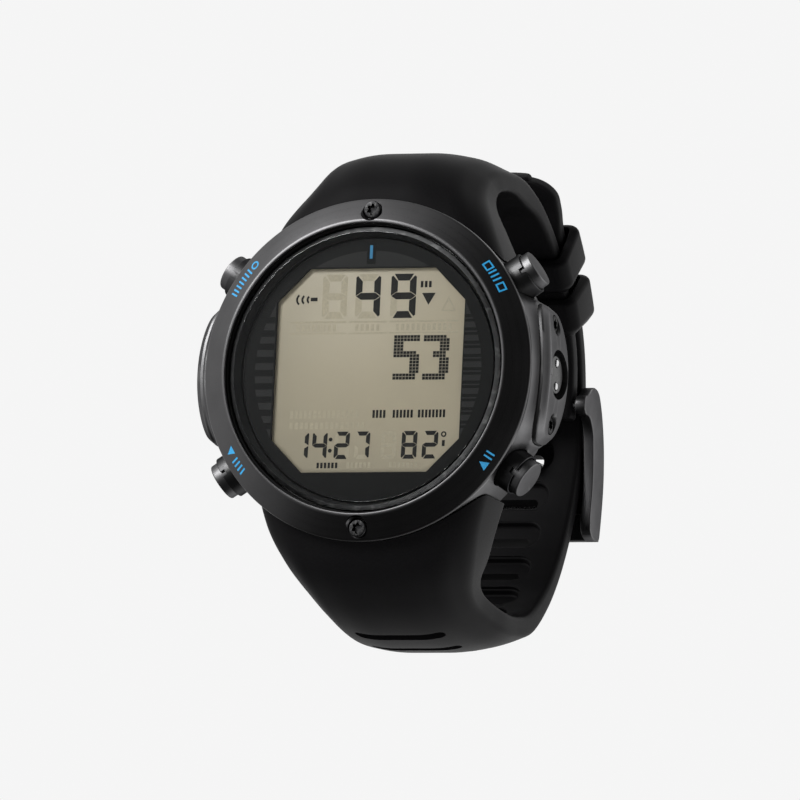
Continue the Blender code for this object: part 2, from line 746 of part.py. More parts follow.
def cut_root(strap, name, side):
    """Seats a strap half against the round case and over its lug."""
    seat = [
        (0.0, 20.0),
        (BEZEL_RADIUS + 0.2, 20.0),
        (BEZEL_RADIUS + 0.2, CASE_TOP_Z - 0.1),
        (CASE_RADIUS + 0.2, CASE_TOP_Z - 0.1),
        (CASE_RADIUS + 0.2, -6.0),
        (0.0, -6.0),
    ]
    combine(strap, turned(f"{name}_seat", seat, steps=ROUND * 2, closed=False))
    combine(strap, make_lug(f"{name}_lug_pocket", side, 0.3))
    combine(strap, rod(f"{name}_pin_bore", STRAP_PIN_RADIUS + 0.1, -10.4, 10.4, matrix=lug_frame(side), sides=16))
    rod(f"strap_pin_{name}", STRAP_PIN_RADIUS, -10.2, 10.2, BRIGHT_STEEL, lug_frame(side), sides=12)
    for button, angle in BUTTONS.items():
        if side * math.sin(angle) > 0:
            room = COLLAR_RADIUS + 0.45
            combine(strap, rod(f"{name}_{button}_room", room, 15.0, 30.0, matrix=button_frame(angle), sides=24))


def slot_frames():
    """The middle of each buckle slot, counted both ways from the one that holds the tongue."""
    root = [((i[0] + o[0]) / 2, (i[1] + o[1]) / 2) for i, o, _, _ in LOWER_ROOT[3:]]
    path = root + lower_line()
    samples = [along(path, k / 20) for k in range((len(path) - 1) * 20 + 1)]
    lengths = [0.0]
    for p, q in zip(samples, samples[1:]):
        lengths.append(lengths[-1] + math.dist(p, q))
    start = min(range(len(samples)), key=lambda k: abs(samples[k][0] - CROSSING_Y) + (samples[k][1] > -30) * 99)
    frames = []
    for k in range(-SLOTS_TO_CASE, SLOTS_TO_TIP + 1):
        target = lengths[start] + k * SLOT_PITCH
        at = min(range(1, len(samples) - 1), key=lambda i: abs(lengths[i] - target))
        y, z = samples[at]
        dy, dz = samples[at + 1][0] - samples[at - 1][0], samples[at + 1][1] - samples[at - 1][1]
        frames.append(frame_at((0, y, z), (1, 0, 0), (0, -dz, dy)))
    return frames


def make_straps():
    upper = loft("strap_upper", upper_stations(), 3, RUBBER)
    cut_root(upper, "upper", 1)
    pivot = frame_at((0, PIVOT_Y, PIVOT_Z), (0, 1, 0), (1, 0, 0))
    combine(upper, rod("upper_pivot_bore", PIVOT_RADIUS + 0.1, -13, 13, matrix=pivot, sides=16))
    notch = TONGUE_HALF_WIDTH + 0.4
    combine(upper, box("tongue_notch", (-notch, -2.0, -40.0), (notch, PIVOT_Y + 2.4, -33.0)))
    lower = loft("strap_lower", lower_stations(), 2, RUBBER)
    cut_root(lower, "lower", -1)
    end = SLOT_LENGTH / 2
    slot = rounded_rectangle(SLOT_HALF_WIDTH, end, end - 0.1, 3)
    recess_end = SLOT_RECESS_LENGTH / 2
    recess = rounded_rectangle(SLOT_RECESS_HALF_WIDTH, recess_end, recess_end - 0.1, 3)
    floor = STRAP_THICKNESS / 2 - SLOT_RECESS_DEPTH
    for i, at in enumerate(slot_frames()):
        combine(lower, plate(f"slot_{i}", [slot], -4.5, 4.5, matrix=at))
        if i in RECESSED_SLOTS:
            shifted = at @ Matrix.Translation((0, SLOT_RECESS_SHIFT * MM, 0))
            combine(lower, plate(f"slot_recess_{i}", [recess], floor, 3.0, matrix=shifted))


# ---------------------------------------------------------------- keepers and buckle


def keeper_frame(degrees):
    """At a place on the wrap: x across, y outwards, z along the strap towards the buckle."""
    a = math.radians(degrees)
    y, z = on_wrap(WRAP_RADIUS + (STRAP_THICKNESS + LAYER_GAP) / 2, degrees)
    return frame_at((0, y, z), (1, 0, 0), (0, -math.sin(a), -math.cos(a)))


def make_keeper(name, degrees):
    half_x = STRAP_HALF_WIDTH + KEEPER_PLAY
    half_y = STRAP_THICKNESS + LAYER_GAP / 2 + KEEPER_PLAY
    outer = rounded_rectangle(half_x + KEEPER_WALL, half_y + KEEPER_WALL, 2.0)
    inner = rounded_rectangle(half_x, half_y, 0.7, 2)
    plate(name, [outer, inner], -KEEPER_LENGTH / 2, KEEPER_LENGTH / 2, RUBBER, keeper_frame(degrees))


def cheek_outline():
    """The buckle cheek seen from its side, as (y, z): an ear at the pin, and a bowed outer edge."""
    ear = arc((PIVOT_Y, PIVOT_Z), 1.35, 180, 0, 10)
    top = [(6.0, -38.3), (6.3, -39.4), (6.2, -40.9), (5.3, -41.9), (4.0, -42.6)]
    outer_edge = [(0.9, -43.8), (-2.0, -44.5), (-6.1, -44.9), (-10.3, -44.6), (-14.1, -44.0), (-14.6, -43.3)]
    foot = [(-14.3, -41.2), (-13.5, -40.1), (-11.9, -39.8)]
    front_edge = [(-9.6, -40.2), (-6.0, -40.4), (-3.0, -40.2), (0.0, -39.7), (1.4, -39.1), (2.0, -38.1)]
    return ear + top + outer_edge + foot + front_edge


def rail_outline():
    """The thin outer wall beside the tongue, seen from its side, as (y, z)."""
    outer = [(-1.2, -44.15), (-2.4, -44.4), (-6.1, -44.75), (-10.3, -44.4), (-13.4, -44.0)]
    return outer + [(y, z + RAIL_THICKNESS) for y, z in reversed(outer)]


def make_buckle():
    flank = frame_at((0, 0, 0), (0, 1, 0), (1, 0, 0))
    frame = plate("buckle_frame", [cheek_outline()], CHEEK_INNER_X, CHEEK_OUTER_X, STEEL, flank)
    other = plate("cheek_left", [cheek_outline()], -CHEEK_OUTER_X, -CHEEK_INNER_X, matrix=flank)
    combine(frame, other, "UNION")
    across = CHEEK_OUTER_X - 0.2
    bar = box("buckle_bar", (-across, -14.8, BAR_OUTER_Z + 0.35), (across, -10.6, BAR_OUTER_Z + 2.0))
    combine(frame, bar, "UNION")
    room = TONGUE_HALF_WIDTH + 0.5
    for name, low, high in (("rail_right", room, across), ("rail_left", -across, -room)):
        combine(frame, plate(name, [rail_outline()], low, high, matrix=flank), "UNION")
    combine(frame, box("bar_notch", (-room, -16.0, -50.0), (room, -9.0, BAR_OUTER_Z + 1.0)))
    pivot = frame_at((0, PIVOT_Y, PIVOT_Z), (0, 1, 0), (1, 0, 0))
    reach = CHEEK_OUTER_X - 0.6
    combine(frame, rod("cheek_pivot_bore", PIVOT_RADIUS + 0.1, -reach, reach, matrix=pivot, sides=16))
    rod("buckle_pin", PIVOT_RADIUS, 0.2 - reach, reach - 0.2, BRIGHT_STEEL, pivot, sides=16)
    make_tongue(flank, pivot)


def make_tongue(flank, pivot):
    """A wide stepped tongue: along the wrist side, out through a slot, then over the buckle's bar."""
    thick = TONGUE_THICKNESS
    barrel = arc((PIVOT_Y, PIVOT_Z), 1.7, 215, 520, 18)
    low = BAR_OUTER_Z + 1.0 - 0.15
    near = CROSSING_Y - TONGUE_SHIFT + thick / 2
    far = CROSSING_Y - TONGUE_SHIFT - thick / 2
    step = [
        (far + 0.4, -37.2),
        (far, -37.6),
        (far, low),
        (-14.2, low),
        (-14.6, low - 0.3),
        (-14.2, low - thick),
        (near - 0.4, low - thick),
        (near, low - thick + 0.4),
        (near, -38.1),
    ]
    outline = barrel + step
    tongue = plate("buckle_tongue", [outline], -TONGUE_HALF_WIDTH, TONGUE_HALF_WIDTH, BRIGHT_STEEL, flank)
    combine(tongue, rod("tongue_bore", PIVOT_RADIUS + 0.1, -10, 10, matrix=pivot, sides=16))


# ---------------------------------------------------------------- assembly

clear_scene()
PARTS = new_collection("dive_computer")
CUTTERS = new_collection("cutters")
CUTTERS.hide_render = True
WATCH = bpy.data.objects.new("watch", None)
PARTS.objects.link(WATCH)
WATCH.rotation_euler = (math.radians(90), 0, 0)
bpy.context.view_layer.update()

STEEL = make_material("satin_steel", (0.19, 0.19, 0.195), 0.38, 1.0)
DARK_STEEL = make_material("dark_steel", (0.07, 0.07, 0.072), 0.34, 1.0)
BRIGHT_STEEL = make_material("bright_steel", (0.62, 0.62, 0.62), 0.22, 1.0)
BRASS = make_material("gold_plate", (0.72, 0.53, 0.22), 0.3, 1.0)
RUBBER = make_material("black_rubber", (0.012, 0.012, 0.013), 0.62, 0.0)
PLASTIC = make_material("black_plastic", (0.02, 0.02, 0.022), 0.5, 0.0)
LCD = make_material("lcd", (0.46, 0.43, 0.32), 0.4, 0.0)
GLASS = make_material("mineral_glass", (0.9, 0.92, 0.92), 0.03, 0.0)
BOARD = make_material("circuit_board", (0.02, 0.14, 0.06), 0.5, 0.0)
BATTERY = make_material("battery_can", (0.6, 0.6, 0.6), 0.3, 1.0)

make_case_body()
make_bezel()
make_glass_and_dial()
make_case_back()
make_covers()
make_fasteners()
for button_name, button_angle in BUTTONS.items():
    make_button(button_name, button_angle)
make_straps()
for keeper_name, keeper_place in KEEPERS.items():
    make_keeper(keeper_name, keeper_place)
make_buckle()
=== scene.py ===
"""Looks of the wrist-worn dive computer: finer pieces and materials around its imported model.

Shapes are laid out in millimetres in the face frame: x towards 3 o'clock, y towards 12 o'clock
and z out of the dial, with z = 0 on the outside of the case back. TO_ROW turns that frame into
the row frame in metres, where the dial looks along -Y and 12 o'clock points along +Z.
"""

import json
import math

import bmesh
import bpy
import numpy as np
from mathutils import Matrix, Vector

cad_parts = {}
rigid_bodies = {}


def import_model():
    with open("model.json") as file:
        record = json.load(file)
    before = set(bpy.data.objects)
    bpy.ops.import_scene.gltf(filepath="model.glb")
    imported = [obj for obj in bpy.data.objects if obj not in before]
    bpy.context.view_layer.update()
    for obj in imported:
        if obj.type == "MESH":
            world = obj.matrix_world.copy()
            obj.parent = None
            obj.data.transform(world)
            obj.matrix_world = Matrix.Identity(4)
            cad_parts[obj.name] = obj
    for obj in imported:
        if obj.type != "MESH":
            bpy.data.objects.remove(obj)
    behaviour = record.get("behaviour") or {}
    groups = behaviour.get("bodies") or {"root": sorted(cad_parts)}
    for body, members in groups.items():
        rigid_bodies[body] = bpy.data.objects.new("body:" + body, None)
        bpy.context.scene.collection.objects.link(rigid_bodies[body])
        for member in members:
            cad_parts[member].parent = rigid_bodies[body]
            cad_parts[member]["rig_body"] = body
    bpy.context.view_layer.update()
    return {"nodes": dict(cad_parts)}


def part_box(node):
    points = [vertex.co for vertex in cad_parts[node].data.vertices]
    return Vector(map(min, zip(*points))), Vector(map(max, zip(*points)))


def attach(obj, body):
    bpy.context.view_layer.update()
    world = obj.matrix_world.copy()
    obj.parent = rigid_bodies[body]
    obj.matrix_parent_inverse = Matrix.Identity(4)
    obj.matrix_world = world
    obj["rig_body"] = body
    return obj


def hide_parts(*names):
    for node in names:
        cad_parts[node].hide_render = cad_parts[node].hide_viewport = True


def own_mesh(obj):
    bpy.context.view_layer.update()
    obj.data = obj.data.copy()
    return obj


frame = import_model()

MM = 0.001
TO_ROW = Matrix.Rotation(math.radians(90), 4, "X") @ Matrix.Scale(MM, 4)


def face_box(node):
    """A CAD node's lowest and highest corners in the face frame, in millimetres."""
    low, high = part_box(node)
    corners = [Vector((p.x, p.z, -p.y)) / MM for p in (low, high)]
    return (
        Vector([min(a, b) for a, b in zip(*corners)]),
        Vector([max(a, b) for a, b in zip(*corners)]),
    )


# Driving dimensions, in millimetres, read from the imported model.
BEZEL_RADIUS = face_box("bezel")[1].x
CASE_THICKNESS = face_box("bezel")[1].z
COVER_FACE_X = face_box("right_cover")[1].x
CRYSTAL_RADIUS = face_box("crystal")[1].x
CRYSTAL_TOP_Z = face_box("crystal")[1].z
DIAL_RADIUS = face_box("dial_mask")[1].x
DIAL_TOP_Z = face_box("dial_mask")[1].z
LCD_TOP_Z = face_box("lcd_panel")[1].z
LCD_HALF_X = face_box("lcd_panel")[1].x - 0.3
LCD_HALF_Y = face_box("lcd_panel")[1].y - 0.3
STRAP_HALF_WIDTH = 11.4
STRAP_THICKNESS = 3.0
LAYER_GAP = 0.3
GAP = 0.15

BEZEL_INNER_RADIUS = 19.9
BEZEL_LIP_RADIUS = 19.45
BEZEL_CREST_RADIUS = BEZEL_LIP_RADIUS + 0.45
BEZEL_EDGE_Z = 14.15
CASE_RADIUS = BEZEL_RADIUS - 0.4
CAVITY_RADIUS = 18.4
CASE_TOP_Z = 13.4
CASE_BOTTOM_Z = 2.05
BACK_SEAT_RADIUS = 19.3
BACK_SEAT_Z = 3.3
LCD_CORNER = 4.4
BUTTON_Z = 9.3
BUTTON_ANGLE = math.radians(33.3)
BUTTON_RADIUS = 2.57
BUTTON_TOP = 25.95
COLLAR_RADIUS = 2.95
COLLAR_TOP = 24.75
COVER_Z = 8.4
COVER_HALF_HEIGHT = 4.3
COVER_HALF_LENGTH = 9.3
COVER_CURVE_RADIUS = 30.0
COVER_STANDS = 1.25
COVER_SEAT_X = 21.9
COVER_SCREW_Y = 6.7
PORT_RADIUS = 3.15
CONTACT_Y = 1.55
SCREW_CIRCLE = 21.35
LUG_HALF_WIDTH = 6.5
LUG_RADIUS = 2.4
LUG_PIN_Y = 24.3
LUG_PIN_Z = 5.7
STRAP_PIN_RADIUS = 0.85
STRAP_PIN_HALF = 10.2
SLOT_HALF_WIDTH = 6.05
SLOT_LENGTH = 2.05
SLOT_LIPS = 1.45
SLOT_PITCH = 6.45
SLOT_RECESS_HALF_WIDTH = 7.6
SLOT_RECESS_LENGTH = 4.2
SLOT_RECESS_SHIFT = 0.75
SLOT_RECESS_DEPTH = 0.9
SLOTS_TO_CASE = 8
SLOTS_TO_TIP = 4
RECESSED_SLOTS = range(2, 13)
WRAP_CENTRE = (-2.3, -5.3)
WRAP_RADIUS = 33.6
KEEPER_WALL = 1.25
KEEPER_PLAY = 0.35
KEEPER_LENGTH = 6.2
KEEPER_SLANT = 1.3
PIVOT_Y = 3.4
PIVOT_Z = -36.9
PIVOT_RADIUS = 0.75
CHEEK_INNER_X = 11.8
CHEEK_OUTER_X = 13.3
BAR_OUTER_Z = -44.9
RAIL_THICKNESS = 1.0
TONGUE_HALF_WIDTH = 5.5
TONGUE_THICKNESS = 0.9
TONGUE_SHIFT = 0.25
CROSSING_Y = -4.1

BUTTONS = {
    "select": math.pi - BUTTON_ANGLE,
    "mode": BUTTON_ANGLE,
    "up": -BUTTON_ANGLE,
    "down": math.pi + BUTTON_ANGLE,
}
KEEPERS = {"keeper_upper": 46.0, "keeper_lower": 57.6}

# Strap stations from the case outwards: the middle of the wrist side (y, z), the middle of the
# outer side (y, z), half the width, and the thickness at the strap's edges. Beside the case the
# edges are fuller than the CAD model's, as on the real strap.
UPPER_ROOT = [
    ((14.6, 2.2), (14.6, 13.3), 17.3, 10.8), ((19.6, 1.9), (20.6, 13.2), 14.8, 9.3),
    ((23.5, 0.8), (25.7, 12.0), 12.6, 6.7), ((25.9, -1.4), (29.5, 7.8), 11.8, 5.1),
    ((27.1, -4.6), (31.6, 1.4), 11.7, 4.1), ((27.5, -9.0), (32.2, -5.6), 11.6, 3.4),
]
LOWER_ROOT = [
    ((-14.6, 2.2), (-14.6, 13.3), 16.5, 10.8), ((-19.8, 1.6), (-20.9, 13.0), 14.8, 10.3),
    ((-23.0, -0.5), (-26.2, 11.4), 13.2, 8.6), ((-25.6, -2.2), (-30.3, 6.0), 11.6, 5.6),
    ((-27.0, -5.0), (-32.8, 0.2), 11.0, 4.2), ((-27.9, -9.0), (-34.0, -6.0), 11.1, 3.5),
    ((-28.5, -13.4), (-34.1, -12.2), 11.4, 3.1), ((-28.4, -17.8), (-33.2, -18.6), 11.4, 2.9),
]
UPPER_LINE_START = [(28.9, -14.8), (27.4, -20.2)]
UPPER_LINE_END = [(5.8, -37.1), (1.4, -36.9)]
UPPER_WRAP_DEGREES = (38.0, 45.5, 53.0, 60.5, 68.0)
LOWER_LINE_START = [
    (-28.9, -23.9), (-25.2, -29.2), (-20.6, -33.4), (-15.2, -36.8), (-9.6, -39.4), (-3.7, -41.0),
    (2.0, -41.2), (7.2, -40.6),
]
LOWER_LINE_END = [(29.0, -27.5), (31.0, -26.2), (32.5, -25.3), (33.2, -24.9)]
LOWER_WRAP_DEGREES = (68.0, 61.0, 54.0, 47.0, 40.0)
TIP_HALF_WIDTHS = [11.4, 11.0, 8.8, 4.6]
TIP_THICKNESSES = [2.9, 2.7, 2.5, 2.3]

FINE = 240
SMOOTH_DEGREES = 34


# ---------------------------------------------------------------- mesh helpers


def place_at(origin, x_axis, z_axis):
    """A matrix whose z runs along z_axis and whose x is as near x_axis as it can be."""
    z = Vector(z_axis).normalized()
    y = z.cross(Vector(x_axis)).normalized()
    x = y.cross(z)
    matrix = Matrix((x, y, z)).transposed().to_4x4()
    matrix.translation = Vector(origin)
    return matrix


def side_frame(side, z=0.0):
    """For shapes on the case's flanks: z outwards along +x or -x, y towards 12 o'clock."""
    return place_at((0, 0, z), (0, 0, -side), (side, 0, 0))


def button_frame(angle):
    """z runs out of the case along the button's travel, and x towards the glass."""
    return place_at((0, 0, BUTTON_Z), (0, 0, 1), (math.cos(angle), math.sin(angle), 0))


def across_frame(y=0.0, z=0.0):
    """For outlines given as (y, z), or a rod across the strap: z runs along the face frame's x."""
    return place_at((0, y, z), (0, 1, 0), (1, 0, 0))


def rounded(points, steps=4, closed=True):
    """Points (a, b, reach): each corner becomes a curve that starts and ends that far from it."""
    path = []
    count = len(points)
    for i, (a, b, reach) in enumerate(points):
        corner = Vector((a, b))
        if reach == 0 or (not closed and i in (0, count - 1)):
            path.append((a, b))
            continue
        back = Vector(points[i - 1][:2]) - corner
        ahead = Vector(points[(i + 1) % count][:2]) - corner
        start = corner + back.normalized() * min(reach, 0.49 * back.length)
        end = corner + ahead.normalized() * min(reach, 0.49 * ahead.length)
        for k in range(steps + 1):
            t = k / steps
            p = start * (1 - t) ** 2 + corner * 2 * t * (1 - t) + end * t * t
            path.append((p.x, p.y))
    return path


def arc(centre, radius, start, end, steps):
    """Points on an arc from start to end degrees."""
    angles = [math.radians(start + (end - start) * i / steps) for i in range(steps + 1)]
    return [(centre[0] + radius * math.cos(a), centre[1] + radius * math.sin(a)) for a in angles]


def circle(radius, steps=64, centre=(0, 0)):
    return arc(centre, radius, 0, 360 * (steps - 1) / steps, steps - 1)


def rounded_rectangle(half_x, half_y, radius, steps=8):
    loop = []
    for sx, sy, start in ((1, 1, 0), (-1, 1, 90), (-1, -1, 180), (1, -1, 270)):
        centre = (sx * (half_x - radius), sy * (half_y - radius))
        loop += arc(centre, radius, start, start + 90, steps)
    return loop


def octagon(half_x, half_y, corner):
    loop = []
    for sx, sy in ((1, 1), (-1, 1), (-1, -1), (1, -1)):
        points = [(sx * half_x, sy * (half_y - corner)), (sx * (half_x - corner), sy * half_y)]
        loop += points if sx * sy > 0 else points[::-1]
    return loop


def facing_out(outline):
    """The outline in anticlockwise order."""
    area = sum(a[0] * b[1] - b[0] * a[1] for a, b in zip(outline, outline[1:] + outline[:1]))
    return outline if area > 0 else outline[::-1]


def drawn_in(outline, distance):
    """An anticlockwise outline moved inwards by a distance, point by point."""
    inner = []
    count = len(outline)
    for i in range(count):
        before, here, after = outline[i - 1], outline[i], outline[(i + 1) % count]
        along = Vector((after[0] - before[0], after[1] - before[1])).normalized()
        inner.append((here[0] - along.y * distance, here[1] + along.x * distance))
    return inner


def skinned(rings, wrap=False, caps=True):
    """A closed skin through rings of equally many points."""
    shape = bmesh.new()
    rows = [[shape.verts.new(p) for p in ring] for ring in rings]
    pairs = list(zip(rows, rows[1:]))
    if wrap:
        pairs.append((rows[-1], rows[0]))
    for a, b in pairs:
        for i in range(len(a)):
            j = (i + 1) % len(a)
            shape.faces.new((a[i], a[j], b[j], b[i]))
    if caps and not wrap:
        shape.faces.new(rows[0])
        shape.faces.new(rows[-1])
    bmesh.ops.recalc_face_normals(shape, faces=shape.faces)
    return shape


def turned(profile, steps=FINE, closed=True):
    """Turns (radius, z) points about z. An open profile starts and ends on the axis."""
    rings = []
    for k in range(steps):
        a = 2 * math.pi * k / steps
        rings.append([(r * math.cos(a), r * math.sin(a), z) for r, z in profile])
    shape = bmesh.new()
    rows = [[shape.verts.new(p) for p in ring] for ring in rings]
    last = len(profile) if closed else len(profile) - 1
    for k in range(steps):
        a, b = rows[k], rows[(k + 1) % steps]
        for i in range(last):
            j = (i + 1) % len(profile)
            shape.faces.new((a[i], b[i], b[j], a[j]))
    bmesh.ops.remove_doubles(shape, verts=shape.verts, dist=0.0005)
    bmesh.ops.recalc_face_normals(shape, faces=shape.faces)
    return shape


def spun(points, steps=FINE, curve=4):
    """Turns an open profile of (radius, z, reach) corners that starts and ends on the axis."""
    return turned(rounded(points, curve, closed=False), steps, closed=False)


def ringed(points, steps=FINE):
    """Turns a closed profile of (radius, z, reach) corners."""
    return turned(rounded(points), steps)


def bored(points, steps=64):
    """Turns an open profile of sharp (radius, z) corners, as for a cutter."""
    return turned(points, steps, closed=False)


def slab(outline, low, high, edge=0.0, steps=4):
    """A plate from low to high with its rims rounded over a distance."""
    levels = [(low, 0.0), (high, 0.0)]
    if edge:
        turn = [math.pi / 2 * k / steps for k in range(steps + 1)]
        levels = [(low + edge * (1 - math.cos(a)), edge * (1 - math.sin(a))) for a in turn]
        levels += [(high - edge * (1 - math.cos(a)), edge * (1 - math.sin(a))) for a in turn[::-1]]
    rings = []
    for z, inset in levels:
        loop = drawn_in(outline, inset) if inset else outline
        rings.append([(x, y, z) for x, y in loop])
    return skinned(rings)


def moved(shape, matrix):
    shape.transform(matrix)
    return shape


def shifted(shape, x, y):
    return moved(shape, Matrix.Translation((x, y, 0)))


def joined(shapes):
    """Several separate shapes as one, which frees them."""
    whole = bmesh.new()
    for shape in shapes:
        mesh = bpy.data.meshes.new("joining")
        shape.to_mesh(mesh)
        shape.free()
        whole.from_mesh(mesh)
        bpy.data.meshes.remove(mesh)
    return whole


def linked(name, data):
    """A new object in the scene for a mesh, light or camera."""
    made = bpy.data.objects.new(name, data)
    bpy.context.scene.collection.objects.link(made)
    return made


def loose_object(name, shape):
    """The shape, which this frees, as an object in the scene."""
    mesh = bpy.data.meshes.new(name)
    shape.to_mesh(mesh)
    shape.free()
    return linked(name, mesh)


def shaded(mesh, material):
    """Gives a mesh its one material, and smooth edges where they turn little."""
    mesh.materials.clear()
    mesh.materials.append(material)
    mesh.shade_smooth()
    mesh.set_sharp_from_angle(angle=math.radians(SMOOTH_DEGREES))


def carved(body, tools, operation="DIFFERENCE"):
    """The body after each tool was cut from it, or joined to it with UNION."""
    made = loose_object("carving", body)
    cutters = [loose_object(f"tool_{i}", tool) for i, tool in enumerate(tools)]
    for cutter in cutters:
        modifier = made.modifiers.new(cutter.name, "BOOLEAN")
        modifier.operation = operation
        modifier.solver = "EXACT"
        modifier.object = cutter
    bpy.context.view_layer.update()
    evaluated = made.evaluated_get(bpy.context.evaluated_depsgraph_get())
    mesh = bpy.data.meshes.new_from_object(evaluated)
    shape = bmesh.new()
    shape.from_mesh(mesh)
    bpy.data.meshes.remove(mesh)
    for old in [made, *cutters]:
        bpy.data.objects.remove(old)
    return shape


def add_piece(name, shape, material, stands_for=(), body=None):
    """A finished piece in the row frame. It rides on the body of the CAD node that it stands for."""
    piece = loose_object(name, moved(shape, TO_ROW))
    shaded(piece.data, material)
    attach(piece, body or frame["nodes"][stands_for[0]]["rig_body"])
    if stands_for:
        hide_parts(*stands_for)
    return piece


# ---------------------------------------------------------------- materials

# A Mix node's colour sockets by number, because its number sockets have the same names.
COLOUR_A, COLOUR_B, COLOUR_OUT = 6, 7, 2


def wired(tree, kind, inputs, **settings):
    """A new node. Each input is set to a value, or joined where the value is a socket."""
    node = tree.nodes.new(kind)
    for key, value in settings.items():
        setattr(node, key, value)
    for key, value in inputs.items():
        if isinstance(value, bpy.types.NodeSocket):
            tree.links.new(value, node.inputs[key])
        else:
            node.inputs[key].default_value = value
    return node


def ranged(tree, value, low, high, start, end, **settings):
    """The value mapped from start..end to low..high."""
    ends = {"From Min": start, "From Max": end, "To Min": low, "To Max": high}
    return wired(tree, "ShaderNodeMapRange", {"Value": value, **ends}, **settings).outputs["Result"]


class Surface:
    """A Principled material with short helpers for its node network, in millimetres."""

    def __init__(self, name, slot, colour, roughness, metallic=0.0):
        self.material = bpy.data.materials.new(name)
        self.material.use_nodes = True
        self.tree = self.material.node_tree
        self.shader = self.tree.nodes["Principled BSDF"]
        self.set({"Base Color": (*colour, 1.0), "Roughness": roughness, "Metallic": metallic})
        place = self.node("ShaderNodeTexCoord")
        ends = {0: place.outputs["Object"], "Scale": 1 / MM}
        self.place = self.node("ShaderNodeVectorMath", ends, operation="SCALE").outputs[0]

    def set(self, values):
        for key, value in values.items():
            self.shader.inputs[key].default_value = value

    def node(self, kind, inputs=None, **settings):
        return wired(self.tree, kind, inputs or {}, **settings)

    def join(self, output, name):
        self.tree.links.new(output, self.shader.inputs[name])

    def noise(self, per_mm, detail=3.0, place=None):
        inputs = {"Scale": per_mm, "Detail": detail, "Vector": place or self.place}
        return self.node("ShaderNodeTexNoise", inputs).outputs["Fac"]

    def ranged(self, value, low, high, start=0.3, end=0.7):
        return ranged(self.tree, value, low, high, start, end)

    def mixed(self, factor, first, second):
        """A colour between two colours, each a triple or a socket."""
        first, second = [(*c, 1.0) if isinstance(c, tuple) else c for c in (first, second)]
        inputs = {"Factor": factor, COLOUR_A: first, COLOUR_B: second}
        return self.node("ShaderNodeMix", inputs, data_type="RGBA").outputs[COLOUR_OUT]

    def painted_edge_highlight(self, low, high):
        """From 0 on flats to 1 on outer edges, where a painted highlight goes."""
        geometry = self.node("ShaderNodeNewGeometry")
        return self.ranged(geometry.outputs["Pointiness"], 0.0, 1.0, low, high)

    def axes(self):
        """The place's X, Y and Z as sockets."""
        return self.node("ShaderNodeSeparateXYZ", {0: self.place}).outputs

    def colour(self, output):
        self.join(output, "Base Color")

    def clouded(self, texture, dark, light):
        """Colours the surface from dark to light by a noise texture."""
        self.colour(self.mixed(self.ranged(texture, 0.0, 1.0), dark, light))

    def roughness(self, output):
        self.join(output, "Roughness")

    def bump(self, height, strength, distance_mm):
        inputs = {"Strength": strength, "Distance": distance_mm * MM, "Height": height}
        self.join(self.node("ShaderNodeBump", inputs).outputs["Normal"], "Normal")


def steel(name, slot, dark, light, smooth, rough, grain=9.0, depth=0.006, edge=None, rim=1.0):
    """Blasted or brushed metal: fine grain, cloudy tone and a painted highlight on outer edges."""
    made = Surface(name, slot, light, smooth, 1.0)
    made.set({"Specular Tint": (rim, rim, rim, 1.0)})
    cloud = made.noise(0.35, 2.0)
    colour = made.mixed(made.ranged(cloud, 0.0, 1.0), dark, light)
    # Painted highlight: outer edges are lightened towards the edge colour.
    if edge:
        colour = made.mixed(made.painted_edge_highlight(0.52, 0.6), colour, edge)
    made.colour(colour)
    fine = made.noise(grain, 4.0)
    made.roughness(made.ranged(fine, smooth, rough))
    made.bump(fine, 0.35, depth)
    return made.material


def turned_steel(name, slot, dark, light, smooth, rough):
    """Steel with faint turning lines round the dial's axis."""
    made = Surface(name, slot, light, smooth, 1.0)
    axes = made.axes()
    flat = made.node("ShaderNodeCombineXYZ", {"X": axes["X"], "Y": axes["Z"]})
    length = made.node("ShaderNodeVectorMath", {0: flat.outputs[0]}, operation="LENGTH")
    lines = made.node("ShaderNodeCombineXYZ", {"X": length.outputs["Value"], "Y": axes["Y"]})
    turning = made.noise(11.0, 2.0, lines.outputs[0])
    grain = made.noise(14.0, 2.0)
    made.clouded(made.noise(0.25, 2.0), dark, light)
    both = made.node("ShaderNodeMath", {0: turning, 1: grain}, operation="ADD").outputs[0]
    made.roughness(made.ranged(both, smooth, rough, 0.7, 1.3))
    made.bump(both, 0.25, 0.004)
    return made.material


def moulded_rubber():
    """Matt silicone-like rubber: a fine moulded grain, faint cloudiness and a soft sheen."""
    made = Surface("strap_rubber", "rubber_black", (0.006, 0.006, 0.0065), 0.5)
    made.set({"Specular IOR Level": 0.05})
    speck = made.noise(6.0, 3.0)
    made.clouded(speck, (0.005, 0.0048, 0.0052), (0.0075, 0.0072, 0.0078))
    made.roughness(made.ranged(speck, 0.47, 0.55))
    made.bump(made.noise(7.0, 3.0), 0.3, 0.012)
    return made.material


def moulded_plastic(name, slot, tone, roughness, grain=8.0, sheen=0.5, depth=0.006):
    made = Surface(name, slot, (tone, tone, tone * 1.03), roughness)
    made.set({"Specular IOR Level": sheen})
    speck = made.noise(grain, 3.0)
    made.clouded(speck, (tone * 0.9,) * 3, (tone * 1.1,) * 3)
    made.roughness(made.ranged(made.noise(grain * 0.6, 2.0), roughness - 0.06, roughness + 0.06))
    made.bump(speck, 0.2, depth)
    return made.material


